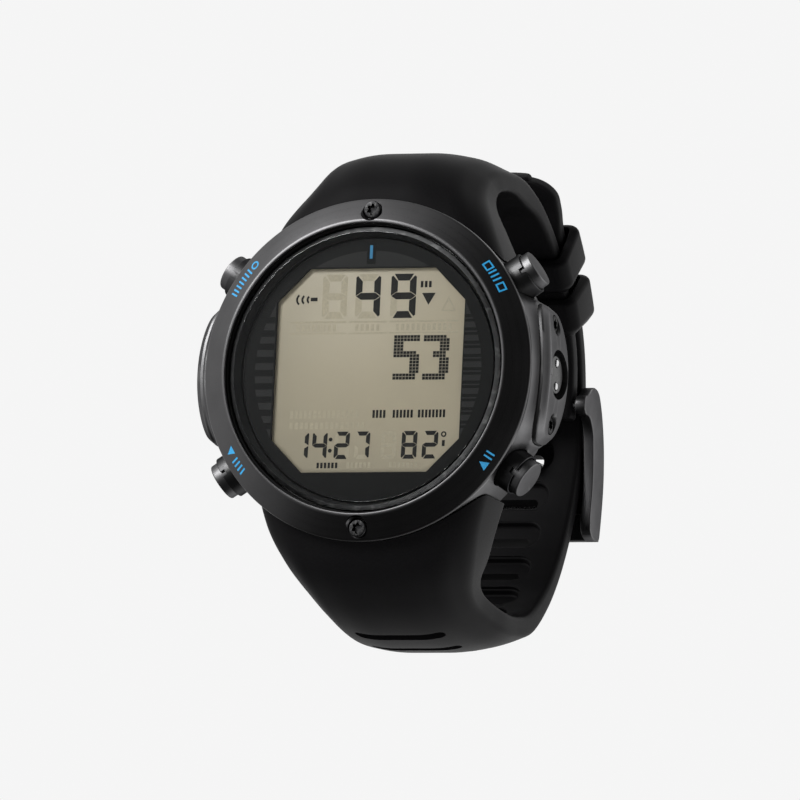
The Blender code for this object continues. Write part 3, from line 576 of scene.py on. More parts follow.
def display_glass():
    """The display's lit face: a warm reflector with a faint grid, painted light that makes it lighter
    towards 3 o'clock, and a gradual random change of tone.
    """
    made = Surface("lcd_reflector", "lcd_panel", (0.7, 0.62, 0.45), 0.42)
    # Painted light: the face goes from darker at 9 o'clock to lighter at 3 o'clock.
    width = made.ranged(made.axes()["X"], 0.0, 1.0, -LCD_HALF_X, LCD_HALF_X)
    painted_light_across = made.mixed(width, (0.57, 0.5, 0.37), (0.8, 0.7, 0.52))
    cloud = made.noise(0.09, 2.0)
    tone = made.mixed(made.ranged(cloud, 0.0, 0.25), painted_light_across, (0.66, 0.58, 0.43))
    speck = made.noise(16.0, 2.0)
    made.colour(made.mixed(made.ranged(speck, 0.0, 0.12), tone, (0.78, 0.7, 0.54)))
    made.roughness(made.ranged(speck, 0.36, 0.48))
    return made.material


def ink(name, colour, roughness=0.45, slot="lcd_panel"):
    """A printed or switched mark, with a slightly uneven tone."""
    made = Surface(name, slot, colour, roughness)
    lighter = tuple(c * 1.18 for c in colour)
    made.clouded(made.noise(3.0, 2.0), colour, lighter)
    made.roughness(made.ranged(made.noise(9.0, 2.0), roughness - 0.05, roughness + 0.05))
    return made.material


def ground_glass():
    """Ground glass with painted light: dark towards 9 o'clock and lighter towards 3 o'clock, with fine
    streaks round the rim that are painted highlights, lighter still towards 3 o'clock.
    """
    made = Surface("ground_glass", "glass_clear", (0.1, 0.1, 0.1), 0.5)
    # Painted light and painted highlights: both the tone and the streaks grow lighter towards 3 o'clock.
    side = made.ranged(made.axes()["X"], 0.0, 1.0, -8.0, 14.0)
    tone = made.mixed(side, (0.025, 0.025, 0.026), (0.3, 0.3, 0.305))
    streak = made.ranged(made.noise(0.7, 2.0), 0.0, 1.0, 0.55, 0.7)
    lighter = made.mixed(side, (0.04, 0.04, 0.041), (0.62, 0.62, 0.62))
    made.colour(made.mixed(streak, tone, lighter))
    made.roughness(made.ranged(made.noise(8.0, 2.0), 0.4, 0.6))
    return made.material


def clear_glass():
    """Glass that lets light straight through, with a mirror's share at its surface."""
    made = Surface("crystal_glass", "glass_clear", (0.9, 0.92, 0.92), 0.03)
    made.tree.nodes.remove(made.shader)
    polish = made.ranged(made.noise(0.5, 2.0), 0.02, 0.045)
    fresnel = made.node("ShaderNodeFresnel", {"IOR": 1.35})
    clear = made.node("ShaderNodeBsdfTransparent", {"Color": (0.965, 0.97, 0.965, 1.0)})
    mirror = made.node("ShaderNodeBsdfGlossy", {"Color": (0.92, 0.94, 0.95, 1.0), "Roughness": polish})
    parts = {0: fresnel.outputs[0], 1: clear.outputs[0], 2: mirror.outputs[0]}
    mix = made.node("ShaderNodeMixShader", parts)
    made.tree.links.new(mix.outputs[0], made.tree.nodes["Material Output"].inputs["Surface"])
    return made.material


def board():
    """Green solder mask with a pattern of tracks."""
    made = Surface("solder_mask", "board_green", (0.02, 0.14, 0.06), 0.45)
    tracks = made.node("ShaderNodeTexBrick", {"Scale": 0.6, "Vector": made.place})
    made.colour(made.mixed(tracks.outputs["Fac"], (0.02, 0.14, 0.06), (0.05, 0.24, 0.1)))
    made.roughness(made.ranged(made.noise(4.0), 0.38, 0.52))
    return made.material


# Metals: name, slot, darker and lighter colour, roughness from and to, then the colour of the
# painted highlight on outer edges and how bright the metal stays at a grazing angle.
SATIN = steel(
    "satin_steel", "steel_satin", (0.135, 0.134, 0.137), (0.16, 0.159, 0.162), 0.33, 0.45,
    edge=(0.22, 0.22, 0.22), rim=0.3,
)
COLLAR = steel(
    "collar_steel", "steel_dark", (0.055, 0.055, 0.057), (0.07, 0.07, 0.072), 0.32, 0.44,
    edge=(0.1, 0.1, 0.1), rim=0.3,
)
DARK_STEEL = steel(
    "screw_steel", "steel_dark", (0.03, 0.03, 0.031), (0.042, 0.042, 0.044), 0.26, 0.38,
    edge=(0.08, 0.08, 0.08), rim=0.5,
)
BRIGHT_STEEL = steel("bright_steel", "steel_bright", (0.5, 0.5, 0.5), (0.62, 0.62, 0.62), 0.2, 0.3)
FLANGE = steel("flange_steel", "steel_satin", (0.12, 0.12, 0.122), (0.15, 0.15, 0.153), 0.34, 0.46)
GOLD = steel("gold_plate", "gold_plate", (0.66, 0.47, 0.19), (0.74, 0.55, 0.24), 0.22, 0.34)
CAN = steel("battery_can", "battery_can", (0.55, 0.55, 0.55), (0.64, 0.64, 0.64), 0.24, 0.36)
BEZEL_STEEL = turned_steel(
    "bezel_steel", "steel_dark", (0.089, 0.088, 0.090), (0.102, 0.101, 0.103), 0.27, 0.38
)
BACK_STEEL = turned_steel(
    "case_back_steel", "steel_satin", (0.3, 0.3, 0.305), (0.36, 0.36, 0.365), 0.26, 0.4
)
RUBBER = moulded_rubber()
BLACK = moulded_plastic("black_plastic", "plastic_black", 0.013, 0.45)
SEAL = moulded_plastic("seal_black", "rubber_black", 0.006, 0.6, sheen=0.08)
MASK = moulded_plastic("mask_black", "plastic_black", 0.007, 0.55, sheen=0.1, depth=0.001)
MASK_PRINT = moulded_plastic("mask_grey_print", "plastic_black", 0.038, 0.55, sheen=0.1, depth=0.001)
PORT_GREY = moulded_plastic("port_grey", "plastic_black", 0.014, 0.42)
LCD = display_glass()
INK = ink("lcd_black", (0.006, 0.005, 0.004), 0.7)
GHOST = ink("lcd_unlit", (0.6, 0.53, 0.39))
BLUE = ink("blue_print", (0.025, 0.31, 0.62), 0.45, "plastic_black")
GROUND = ground_glass()
GLASS = clear_glass()
BOARD = board()


# ---------------------------------------------------------------- case, bezel and glass


def cover_outline(margin=0.0, count=96):
    """The side cover's outline as (depth, towards 12 o'clock): long sides and round ends."""
    half_x = COVER_HALF_HEIGHT + margin
    half_y = COVER_HALF_LENGTH + margin
    loop = []
    for i in range(count):
        a = 2 * math.pi * i / count
        c, s = math.cos(a), math.sin(a)
        depth = half_x * math.copysign(abs(c) ** 0.62, c)
        loop.append((depth, half_y * math.copysign(abs(s) ** 0.9, s)))
    return loop


def dome_x(y, face_x):
    """How far out the slightly domed flank face lies at a height y."""
    radius = COVER_CURVE_RADIUS - (COVER_FACE_X - face_x)
    return face_x - radius + np.sqrt(np.maximum(radius**2 - np.square(y), 0.0))


def flank_boss(side):
    """The raised flank round a side cover: a flat rim, then a hollow fillet down to the case."""
    rim, reach, steps = 0.3, 2.4, 12
    low, high = CASE_BOTTOM_Z + 0.6 - COVER_Z, CASE_TOP_Z - 0.03 - COVER_Z
    inside = 19.6
    # Each level: how far outside the cover's outline, and the share of the way from the case wall
    # to the boss's face. None stands for the closed inner end.
    levels = [(-0.8, None), (-0.8, 1.0), (rim - 0.12, 1.0), (rim, 0.985)]
    levels += [(rim + reach * k / steps, (1 - k / steps) ** 2.2 * 0.97) for k in range(1, steps)]
    levels += [(rim + reach, -0.03), (rim + reach, None)]
    rings = []
    for margin, share in levels:
        ring = []
        for depth, y in cover_outline(margin):
            depth = min(max(depth, low), high)
            wall = math.sqrt(CASE_RADIUS**2 - y * y)
            face = max(float(dome_x(y, COVER_FACE_X - COVER_STANDS)), wall)
            out = min(inside, wall - 0.8) if share is None else wall + (face - wall) * share
            ring.append((depth, y, out - (0.05 if share is not None and share < 0 else 0)))
        rings.append(ring)
    return moved(skinned(rings), side_frame(side, COVER_Z))


def case_ring():
    """The round case wall as one skin."""
    top = CASE_TOP_Z
    steps = 2 * FINE
    outer = [(CASE_RADIUS - 0.35, top), (CASE_RADIUS - 0.1, top - 0.07), (CASE_RADIUS, top - 0.3)]
    low = CASE_BOTTOM_Z + 1.9
    foot = [(CASE_RADIUS, low, 0), (CASE_RADIUS - 0.9, CASE_BOTTOM_Z, 0.3)]
    outer += rounded([*foot, (BACK_SEAT_RADIUS, CASE_BOTTOM_Z, 0)], closed=False)
    inner = [(BACK_SEAT_RADIUS, BACK_SEAT_Z), (CAVITY_RADIUS, BACK_SEAT_Z), (CAVITY_RADIUS, top)]
    return turned(outer + inner, steps)


def lug(side, margin=0.0):
    """The tab that a strap half is pinned to."""
    radius = LUG_RADIUS + margin
    root = 20.5 - 10 * margin
    outline = [(root, LUG_PIN_Z + radius), (root, LUG_PIN_Z - radius)]
    outline += arc((LUG_PIN_Y, LUG_PIN_Z), radius, -90, 90, 24)
    half = LUG_HALF_WIDTH + margin
    mirrored = [(side * y, z) for y, z in outline][::side]
    return moved(slab(mirrored, -half, half), across_frame())


def lug_frame(side):
    return across_frame(side * LUG_PIN_Y, LUG_PIN_Z)


def at_each(at, distances, make):
    """What make returns, once for each distance along a frame's y."""
    return [moved(make(), at @ Matrix.Translation((0, y, 0))) for y in distances]


def rod(radius, low, high, steps=48, edge=0.0):
    """A cylinder along z with softened ends."""
    return spun([(0, high, 0), (radius, high, edge), (radius, low, edge), (0, low, 0)], steps)


def make_case():
    """The case wall with its lugs and side bosses, cut out for covers, buttons and strap pins."""
    shape = case_ring()
    shape = carved(shape, [lug(1), lug(-1), flank_boss(1), flank_boss(-1)], "UNION")
    room = cover_outline(GAP)
    pockets = [moved(slab(room, COVER_SEAT_X, 30.0), side_frame(side, COVER_Z)) for side in (1, -1)]
    collar_bore, collar_floor, stem_bore, stem_end = COLLAR_RADIUS + GAP, 21.4, 1.35, 16.5
    stem_room = [(0, 27), (collar_bore, 27), (collar_bore, collar_floor)]
    stem_room += [(stem_bore, collar_floor), (stem_bore, stem_end), (0, stem_end)]
    bores = [moved(bored(stem_room), button_frame(a)) for a in BUTTONS.values()]
    pins = [moved(rod(STRAP_PIN_RADIUS + 0.08, -12, 12), lug_frame(side)) for side in (1, -1)]
    shape = carved(shape, [joined(pockets), joined(bores), joined(pins)])
    add_piece("case_shell", shape, SATIN, ["case_body"])


def bezel_height(radius):
    """The bezel's sloping face: its height at a radius."""
    crest = CASE_THICKNESS - 0.05
    slope = (crest - BEZEL_EDGE_Z) / (BEZEL_RADIUS - BEZEL_CREST_RADIUS)
    return crest - slope * (radius - BEZEL_CREST_RADIUS)


def make_bezel():
    """The conical ring, with a lip over the glass and two countersunk screw holes."""
    seat, under, top = CASE_TOP_Z + GAP, CRYSTAL_TOP_Z + 0.1, CASE_THICKNESS - 0.04
    profile = [
        (BEZEL_INNER_RADIUS, seat, 0.08), (BEZEL_INNER_RADIUS, under, 0.05),
        (BEZEL_LIP_RADIUS, under, 0.06), (BEZEL_LIP_RADIUS, top, 0.14),
        (BEZEL_CREST_RADIUS, top, 0.2), (BEZEL_RADIUS, BEZEL_EDGE_Z, 0.28),
        (BEZEL_RADIUS, seat, 0.15),
    ]
    sink = [(0, 14.3), (1.32, 14.3), (1.32, 15.0), (1.62, 15.42), (1.62, 18.0), (0, 18.0)]
    holes = [shifted(bored(sink), 0, y) for y in (SCREW_CIRCLE, -SCREW_CIRCLE)]
    shape = carved(ringed(profile, 2 * FINE), [joined(holes)])
    add_piece("bezel_ring", shape, BEZEL_STEEL, ["bezel"])


def six_lobes(size, count=48):
    loop = []
    for i in range(count):
        a = 2 * math.pi * i / count
        r = size * (0.86 + 0.16 * math.cos(6 * a))
        loop.append((r * math.cos(a), r * math.sin(a)))
    return loop


def make_screw(node, place, outwards, radius, head, length, socket):
    """A six-lobe screw: its head's top is at place, and it runs inwards from there."""
    shank = 0.6
    profile = [
        (0, 0, 0), (radius, 0, 0.2), (radius, -head, 0.08), (shank, -head, 0),
        (shank, -length, 0.1), (0, -length, 0),
    ]
    shape = carved(spun(profile, 64), [slab(six_lobes(socket), -0.55, 1.0)])
    at = place_at(place, (0.12, 0.99, 0.03), outwards)
    add_piece(node + "_six_lobe", moved(shape, at), DARK_STEEL, [node])


def back_screw_place(i):
    angle = math.radians(58 + 64 * (i % 2) + 180 * (i // 2))
    return (20.3 * math.cos(angle), 20.3 * math.sin(angle))


def make_screws():
    for y, name in ((SCREW_CIRCLE, "12"), (-SCREW_CIRCLE, "6")):
        make_screw(f"bezel_screw_{name}", (0, y, 15.15), (0, 0, 1), 1.2, 0.65, 4.2, 0.78)
    for side, name in ((1, "right"), (-1, "left")):
        for y, where in ((COVER_SCREW_Y, "upper"), (-COVER_SCREW_Y, "lower")):
            place = (side * (COVER_FACE_X - 0.95), y, COVER_Z)
            make_screw(f"{name}_cover_screw_{where}", place, (side, 0, 0), 1.2, 0.55, 4.0, 0.78)
    for i in range(4):
        x, y = back_screw_place(i)
        make_screw(f"back_screw_{i + 1}", (x, y, 0.25), (0, 0, -1), 1.1, 0.7, 4.5, 0.7)


def make_glass():
    """The crystal, its seal, the steel ring round the dial and the crystal's ground edge."""
    taper_z, under, seat = CRYSTAL_TOP_Z - 0.75, DIAL_TOP_Z + GAP, CASE_TOP_Z + GAP
    disc = [
        (0, CRYSTAL_TOP_Z, 0), (CRYSTAL_RADIUS - 0.65, CRYSTAL_TOP_Z, 0.1),
        (CRYSTAL_RADIUS, CRYSTAL_TOP_Z - 0.45, 0.1), (CRYSTAL_RADIUS, taper_z, 0.05),
        (DIAL_RADIUS, under, 0.05), (0, under, 0),
    ]
    add_piece("crystal_disc", spun(disc), GLASS, ["crystal"])
    seal_in, seal_out, top = CRYSTAL_RADIUS + GAP, BEZEL_INNER_RADIUS - GAP, CRYSTAL_TOP_Z - 0.15
    seal = [(seal_in, top, 0.15), (seal_out, top, 0.15), (seal_out, seat, 0), (seal_in, seat, 0)]
    add_piece("crystal_seal", ringed(seal), SEAL, ["crystal_gasket"])
    ring_in = DIAL_RADIUS + 0.25
    ring = [
        (ring_in, DIAL_TOP_Z, 0.06), (CRYSTAL_RADIUS - 0.12, taper_z - 0.2, 0.1),
        (CRYSTAL_RADIUS - 0.05, seat, 0), (ring_in, seat, 0),
    ]
    add_piece("dial_flange", ringed(ring), FLANGE, ["dial_ring"])
    edge_in, edge_out = CRYSTAL_RADIUS - 0.62, CRYSTAL_RADIUS - 0.06
    ground = [
        (edge_in, CRYSTAL_TOP_Z - 0.09), (edge_out, CRYSTAL_TOP_Z - 0.48),
        (edge_out, CRYSTAL_TOP_Z - 0.56), (edge_in, CRYSTAL_TOP_Z - 0.17),
    ]
    add_piece("crystal_ground_edge", turned(ground), GROUND, body="case")


def make_case_back():
    rim, seat = 21.3, CASE_BOTTOM_Z - GAP
    profile = [
        (0, 2.6, 0), (18.2, 2.6, 0.1), (18.2, seat, 0), (rim, seat, 0.1), (rim, 1.2, 0.3),
        (20.4, 0.1, 0.4), (18.2, 0.0, 0.1), (18.0, 0.22, 0.08), (17.2, 0.22, 0.08),
        (17.0, 0.0, 0.08), (0, 0.0, 0),
    ]
    sink = [(0, -1), (1.42, -1), (1.25, 0.4), (1.25, 1.05), (0.7, 1.05), (0.7, 3.2), (0, 3.2)]
    holes = [shifted(bored(sink, 48), *back_screw_place(i)) for i in range(4)]
    add_piece("case_back_plate", carved(spun(profile), [joined(holes)]), BACK_STEEL, ["case_back"])


# ---------------------------------------------------------------- dial and display


def add_prism(shape, loop, low, high, lift=None):
    """A thin plate from an anticlockwise loop; lift turns (x, y, z) into a place."""
    lift = lift or (lambda x, y, z: (x, y, z))
    bottom = [shape.verts.new(lift(x, y, low)) for x, y in loop]
    top = [shape.verts.new(lift(x, y, high)) for x, y in loop]
    for i in range(len(loop)):
        j = (i + 1) % len(loop)
        shape.faces.new((bottom[i], bottom[j], top[j], top[i]))
    shape.faces.new(bottom[::-1])
    shape.faces.new(top)


def flat_marks(name, loops, low, high, material, lift=None):
    shape = bmesh.new()
    for loop in loops:
        add_prism(shape, facing_out(loop), low, high, lift)
    return add_piece(name, shape, material, body="case")


def block(x0, y0, x1, y1):
    return [(x0, y0), (x1, y0), (x1, y1), (x0, y1)]


def ring_marks(centre, outer, inner, start, end, steps):
    """An arc-shaped stroke between two radii."""
    return arc(centre, outer, start, end, steps) + arc(centre, inner, end, start, steps)


def make_dial():
    """The dial's mask with its window, the display's panel, the print and the blue tick."""
    window = octagon(LCD_HALF_X, LCD_HALF_Y, LCD_CORNER)
    opening = slab(window, DIAL_TOP_Z - 2, DIAL_TOP_Z + 2)
    under = DIAL_TOP_Z - 0.45
    disc = [(0, DIAL_TOP_Z, 0), (DIAL_RADIUS, DIAL_TOP_Z, 0.05), (DIAL_RADIUS, under, 0), (0, under, 0)]
    add_piece("dial_face", carved(spun(disc), [opening]), MASK, ["dial_mask"])
    panel = octagon(LCD_HALF_X + 0.3, LCD_HALF_Y + 0.3, LCD_CORNER)
    add_piece("lcd_face", slab(panel, 12.25, LCD_TOP_Z, 0.05, 2), LCD, ["lcd_panel"])
    low, high = DIAL_TOP_Z - 0.03, DIAL_TOP_Z + 0.025
    flat_marks("dial_print_grey", dial_zones(), low, high, MASK_PRINT)
    flat_marks("dial_print_dark", dial_bars(), low, high + 0.01, MASK)
    tick = [block(-0.45, 14.95, -0.05, 16.75)]
    flat_marks("dial_tick_ground", [block(-0.85, 14.2, 0.4, 17.0)], low, high + 0.015, MASK)
    flat_marks("dial_tick", tick, low, high + 0.03, BLUE)


ZONE_RADIUS = 16.0
BAR_PITCH = 1.78


def zone_loop(side, low, high, radius=ZONE_RADIUS, inner=None):
    """The strip of dial beside the window between two heights, out to a radius."""
    inner = inner or LCD_HALF_X + 0.12
    steps = 6
    heights = [low + (high - low) * i / steps for i in range(steps + 1)]
    outer = [(math.sqrt(max(radius**2 - y * y, inner**2)), y) for y in heights]
    return [(side * x, y) for x, y in [(inner, low), *outer, (inner, high)]]


def dial_zones():
    """Grey fields: a segment above the window and a strip down either side of it."""
    edge = LCD_HALF_Y + 0.15
    half = math.degrees(math.acos(edge / ZONE_RADIUS))
    top = arc((0, 0), ZONE_RADIUS, 90 - half, 90 + half, 24)
    return [top] + [zone_loop(side, -9.0, 9.0) for side in (1, -1)]


def dial_bars():
    """Dark bars across the side fields; on the right each is a pair of finer lines."""
    bars = []
    for k in range(-4, 5):
        middle = k * BAR_PITCH - 0.3
        bars.append(zone_loop(-1, middle - 0.43, middle + 0.43, ZONE_RADIUS + 0.1))
        bars.append(zone_loop(1, middle + 0.08, middle + 0.5, ZONE_RADIUS + 0.1))
        bars.append(zone_loop(1, middle - 0.5, middle - 0.12, ZONE_RADIUS + 0.1))
    return bars


SEGMENTS = {
    "1": "bc", "2": "abged", "3": "abgcd", "4": "fgbc", "5": "afgcd",
    "7": "abc", "8": "abcdefg", "9": "abcdfg",
}


def digit(character, x, y, width, height, stroke, slant=0.0, unlit=False):
    """A seven-segment digit whose lower left corner is at x, y. With unlit, its dark segments."""
    t, w, h, m = stroke, width, height, height / 2
    g, c = stroke * 0.07, stroke * 0.38
    up, down, bevel, inset = m + t / 2, m - t / 2, c * 0.7, t * 0.8
    upper = [(0, m + g), (t * 0.75, up + g), (t, up + 2 * g), (t, h - t - g)]
    upper += [(bevel, h - bevel), (0, h - c - g)]
    lower = [(0, m - g), (0, c + g), (bevel, bevel), (t, t + g), (t, down - 2 * g), (t * 0.75, down - g)]

    def opposite(loop):
        return [(w - a, b) for a, b in loop[:1] + loop[:0:-1]]

    shapes = {
        "a": [(c + g, h), (t + g, h - t), (w - t - g, h - t), (w - c - g, h), (w - c - g - 0.01, h)],
        "d": [(c + g, 0), (w - c - g, 0), (w - t - g, t), (t + g, t)],
        "g": [(g, m), (inset, down), (w - inset, down), (w - g, m), (w - inset, up), (inset, up)],
        "f": upper, "b": opposite(upper), "e": lower, "c": opposite(lower),
    }
    lit = SEGMENTS[character]
    wanted = [name for name in shapes if (name in lit) != unlit]
    return [[(x + a + slant * b, y + b) for a, b in shapes[name]] for name in wanted]


DOT_DIGITS = {
    "5": [(0, 0, 8, 2), (0, 2, 3, 7), (3, 5, 7, 7), (5, 7, 8, 12), (7, 6, 8, 7), (0, 12, 7, 14)],
    "3": [(0, 0, 7, 2), (5, 2, 8, 5), (7, 1, 8, 2), (3, 5, 7, 7), (5, 7, 8, 12), (0, 12, 7, 14)],
}
DOT_PITCH = (0.459, 0.429)


def dotted(character, x, top):
    """A digit of square dots, from blocks of columns and rows counted from its top left."""
    dots = []
    for c0, r0, c1, r1 in DOT_DIGITS[character]:
        for column in range(c0, c1):
            for row in range(r0, r1):
                left = x + column * DOT_PITCH[0]
                high = top - row * DOT_PITCH[1]
                dots.append(block(left, high - 0.37, left + 0.4, high))
    return dots


def tally(x0, x1, y0, y1, pitch, share=0.62):
    """A row of upright bars, which stands in for wording."""
    count = int((x1 - x0) / pitch)
    return [block(x0 + i * pitch, y0, x0 + (i + share) * pitch, y1) for i in range(count)]


BIG_DIGITS = (("4", -2.42, 3.5), ("9", 2.55, 3.55))
RULES = ((-11.5, -3.55), (-3.15, 2.15), (2.55, 12.3))
WORDS = ((0.75, 3.2), (3.6, 6.75), (7.15, 11.2))


def big_digit(character, x, width, unlit=False):
    return digit(character, x, 7.02, width, 5.95, 0.92, unlit=unlit)


def small_digit(character, x, unlit=False):
    return digit(character, x, -11.82, 2.1, 3.66, 0.55, 0.03, unlit)


def last_digit(character, x):
    return digit(character, x, -11.85, 2.16, 3.7, 0.55, 0.02)


def lit_marks():
    marks = []
    for character, x, width in BIG_DIGITS:
        marks += big_digit(character, x, width)
    marks += dotted("5", 3.32, 4.7) + dotted("3", 7.5, 4.66)
    for character, x in (("4", -7.62), ("2", -4.48), ("7", -1.62), ("1", -10.25)):
        marks += small_digit(character, x)
    marks += last_digit("8", 5.0) + last_digit("2", 7.92)
    marks += [circle(0.27, 12, (-4.99, -9.2)), circle(0.27, 12, (-5.03, -10.7))]
    for i, radius in enumerate((0.75, 0.62, 0.5)):
        centre = (-9.95 + i * 0.62, 9.63)
        marks.append(ring_marks(centre, radius + 0.13, radius - 0.13, 125, 235, 8))
    marks.append(block(-8.75, 9.42, -7.8, 9.9))
    marks.append([(7.9, 8.75), (8.85, 10.35), (6.95, 10.35)])
    marks += tally(6.7, 9.0, 11.1, 11.95, 0.58)
    for x0, x1 in WORDS:
        marks += tally(x0, x1, -6.35, -5.3, 0.5)
    marks += tally(-6.8, -3.6, -13.05, -12.3, 0.52)
    marks.append(ring_marks((10.9, -8.6), 0.38, 0.2, 0, 358, 20))
    marks.append(block(10.7, -10.2, 11.1, -9.4))
    return marks


def unlit_marks():
    marks = big_digit("8", -7.1, 3.5)
    for character, x, width in BIG_DIGITS:
        marks += big_digit(character, x, width, unlit=True)
    for x0, x1 in RULES:
        marks += [block(x0, 6.45, x1, 6.7), block(x0, 4.95, x1, 5.15)]
        marks += tally(x0 + 0.9, x1 - 0.6, 5.35, 6.25, 0.74)
    marks += tally(-10.9, -0.4, -6.35, -5.3, 0.66)
    marks += tally(-10.9, 0.2, -7.8, -6.9, 0.72)
    marks += last_digit("8", 2.1)
    marks += small_digit("2", -4.48, unlit=True) + small_digit("4", -1.62, unlit=True)
    marks += tally(-2.6, 1.0, -13.05, -12.3, 0.6)
    marks += tally(3.4, 7.8, -13.05, -12.3, 0.6)
    outside = [(9.65, 7.85), (10.75, 9.85), (11.85, 7.85)]
    marks.append(outside + [(11.45, 8.07), (10.75, 9.4), (10.05, 8.07)])
    marks.append(block(9.9, 7.85, 11.6, 8.05))
    return marks


def make_display_marks():
    flat_marks("lcd_unlit_segments", unlit_marks(), LCD_TOP_Z - 0.02, LCD_TOP_Z + 0.012, GHOST)
    flat_marks("lcd_lit_segments", lit_marks(), LCD_TOP_Z - 0.02, LCD_TOP_Z + 0.03, INK)


def bezel_lift(angle):
    """Turns (along the rim, outwards, height) near an angle into a place on the bezel's slope."""
    slope = math.atan2(bezel_height(0) - bezel_height(1), 1.0)

    def lifted(along, outwards, height):
        radius = SCREW_CIRCLE + 0.15 + outwards * math.cos(slope) + height * math.sin(slope)
        a = angle + along / SCREW_CIRCLE
        z = bezel_height(SCREW_CIRCLE + 0.15 + outwards * math.cos(slope)) + height * math.cos(slope)
        return (radius * math.cos(a), radius * math.sin(a), z)

    return lifted


def make_bezel_marks():
    """Blue signs by the buttons, in place of wording: a ring, bars, and arrows for up and down."""
    half, line, pitch = 0.62, 0.22, 0.62
    inner = half - line
    ring = ring_marks((0, 0), half, half - 0.24, 0, 356, 24)
    square = [block(-half, -half, half, -inner), block(-half, inner, half, half)]
    square += [block(-half, -inner, -inner, inner), block(inner, -inner, half, inner)]
    arrow = [[(-half, -half), (half, -half), (0, half)]]

    def at(loops, offset, flip=1):
        return [[(x + offset, y * flip) for x, y in loop] for loop in loops]

    def bars(offset, count):
        middles = [offset + i * pitch for i in range(count)]
        return [block(x - 0.12, -half, x + 0.12, half) for x in middles]

    signs = {
        "select": (145.0, at([ring], -2.2) + bars(-1.1, 6) + [block(2.45, -half, 2.7, half)]),
        "mode": (34.5, at(square, -1.7) + bars(-0.5, 3) + at(square, 1.75)),
        "down": (214.9, at(arrow, -1.5) + bars(-0.2, 4)),
        "up": (-34.9, at(arrow, -0.75, -1) + bars(0.35, 2)),
    }
    for name, (degrees, loops) in signs.items():
        flat_marks(f"bezel_sign_{name}", loops, -0.03, 0.02, BLUE, bezel_lift(math.radians(degrees)))


# ---------------------------------------------------------------- covers, port and buttons


def make_cover(side, name):
    """A side cover with a wide bevel and a slightly domed face."""
    bevel = 0.8
    # Each level: its height from the domed face, and how far it lies inside the outline.
    levels = [(-2.55, 0.05), (-2.5, 0.0), (-bevel - 0.12, 0.0), (-bevel, 0.03)]
    levels += [(-bevel + bevel * k / 4, 0.06 + bevel * k / 4) for k in range(1, 4)]
    levels += [(-0.1, bevel - 0.02), (-0.02, bevel + 0.1), (0.0, bevel + 0.25)]
    outline = cover_outline()
    rings = [lifted_ring(drawn_in(outline, inset), drop) for drop, inset in levels]
    face = drawn_in(outline, bevel + 0.25)
    rings += [lifted_ring([(x * s, y * s) for x, y in face], 0.0) for s in (0.8, 0.6, 0.4, 0.2, 0.05)]
    at = side_frame(side, COVER_Z)
    shape = moved(skinned(rings), at)
    sink = [(0, 23.25), (1.32, 23.25), (1.32, 24.2), (1.55, 24.55), (1.55, 28), (0, 28)]
    tools = at_each(at, (COVER_SCREW_Y, -COVER_SCREW_Y), lambda: bored(sink, 48))
    if side > 0:
        tools.append(moved(slab(port_opening(), 20, 28), at))
    else:
        tools += at_each(at, (-1.6, 0.0, 1.6), lambda: rod(0.45, 20, 28, 24))
    add_piece(f"{name}_cover_plate", carved(shape, [joined(tools)]), SATIN, [f"{name}_cover"])


def lifted_ring(loop, drop):
    """A loop on the domed flank face, lowered by a drop."""
    return [(x, y, float(dome_x(y, COVER_FACE_X)) + drop) for x, y in loop]


def port_opening():
    """The round port with a keyway tab on the side nearest the glass."""
    radius, tab_half, tab = PORT_RADIUS + GAP, 0.42, 0.62
    edge = math.degrees(math.asin(tab_half / radius))
    loop = arc((0, 0), radius, 180 + edge, 540 - edge, 60)
    return loop + [(-radius + tab, tab_half), (-radius + tab, -tab_half)]


def make_port():
    at = side_frame(1, COVER_Z)
    floor, step, back = COVER_FACE_X - 0.5, COVER_FACE_X - 1.3, COVER_FACE_X - 2.6
    profile = [
        (0, floor, 0), (2.5, floor, 0.15), (2.5, step, 0.1), (PORT_RADIUS, step, 0.1),
        (PORT_RADIUS, back, 0), (0, back, 0),
    ]
    holes = [shifted(rod(0.62, 20, 27, 32), 0, y) for y in (CONTACT_Y, -CONTACT_Y)]
    shape = carved(spun(profile, 96), [joined(holes)])
    add_piece("contact_socket", moved(shape, at), PORT_GREY, ["contact_port"])
    top, foot = COVER_FACE_X - 0.3, 19.0
    pin = [(0, top, 0), (0.5, top, 0.25), (0.5, foot, 0), (0, foot, 0)]
    pins = at_each(at, (CONTACT_Y, -CONTACT_Y), lambda: spun(pin, 32, 6))
    for shape, where in zip(pins, ("upper", "lower")):
        add_piece(f"contact_{where}", shape, BRIGHT_STEEL, [f"contact_pin_{where}"])


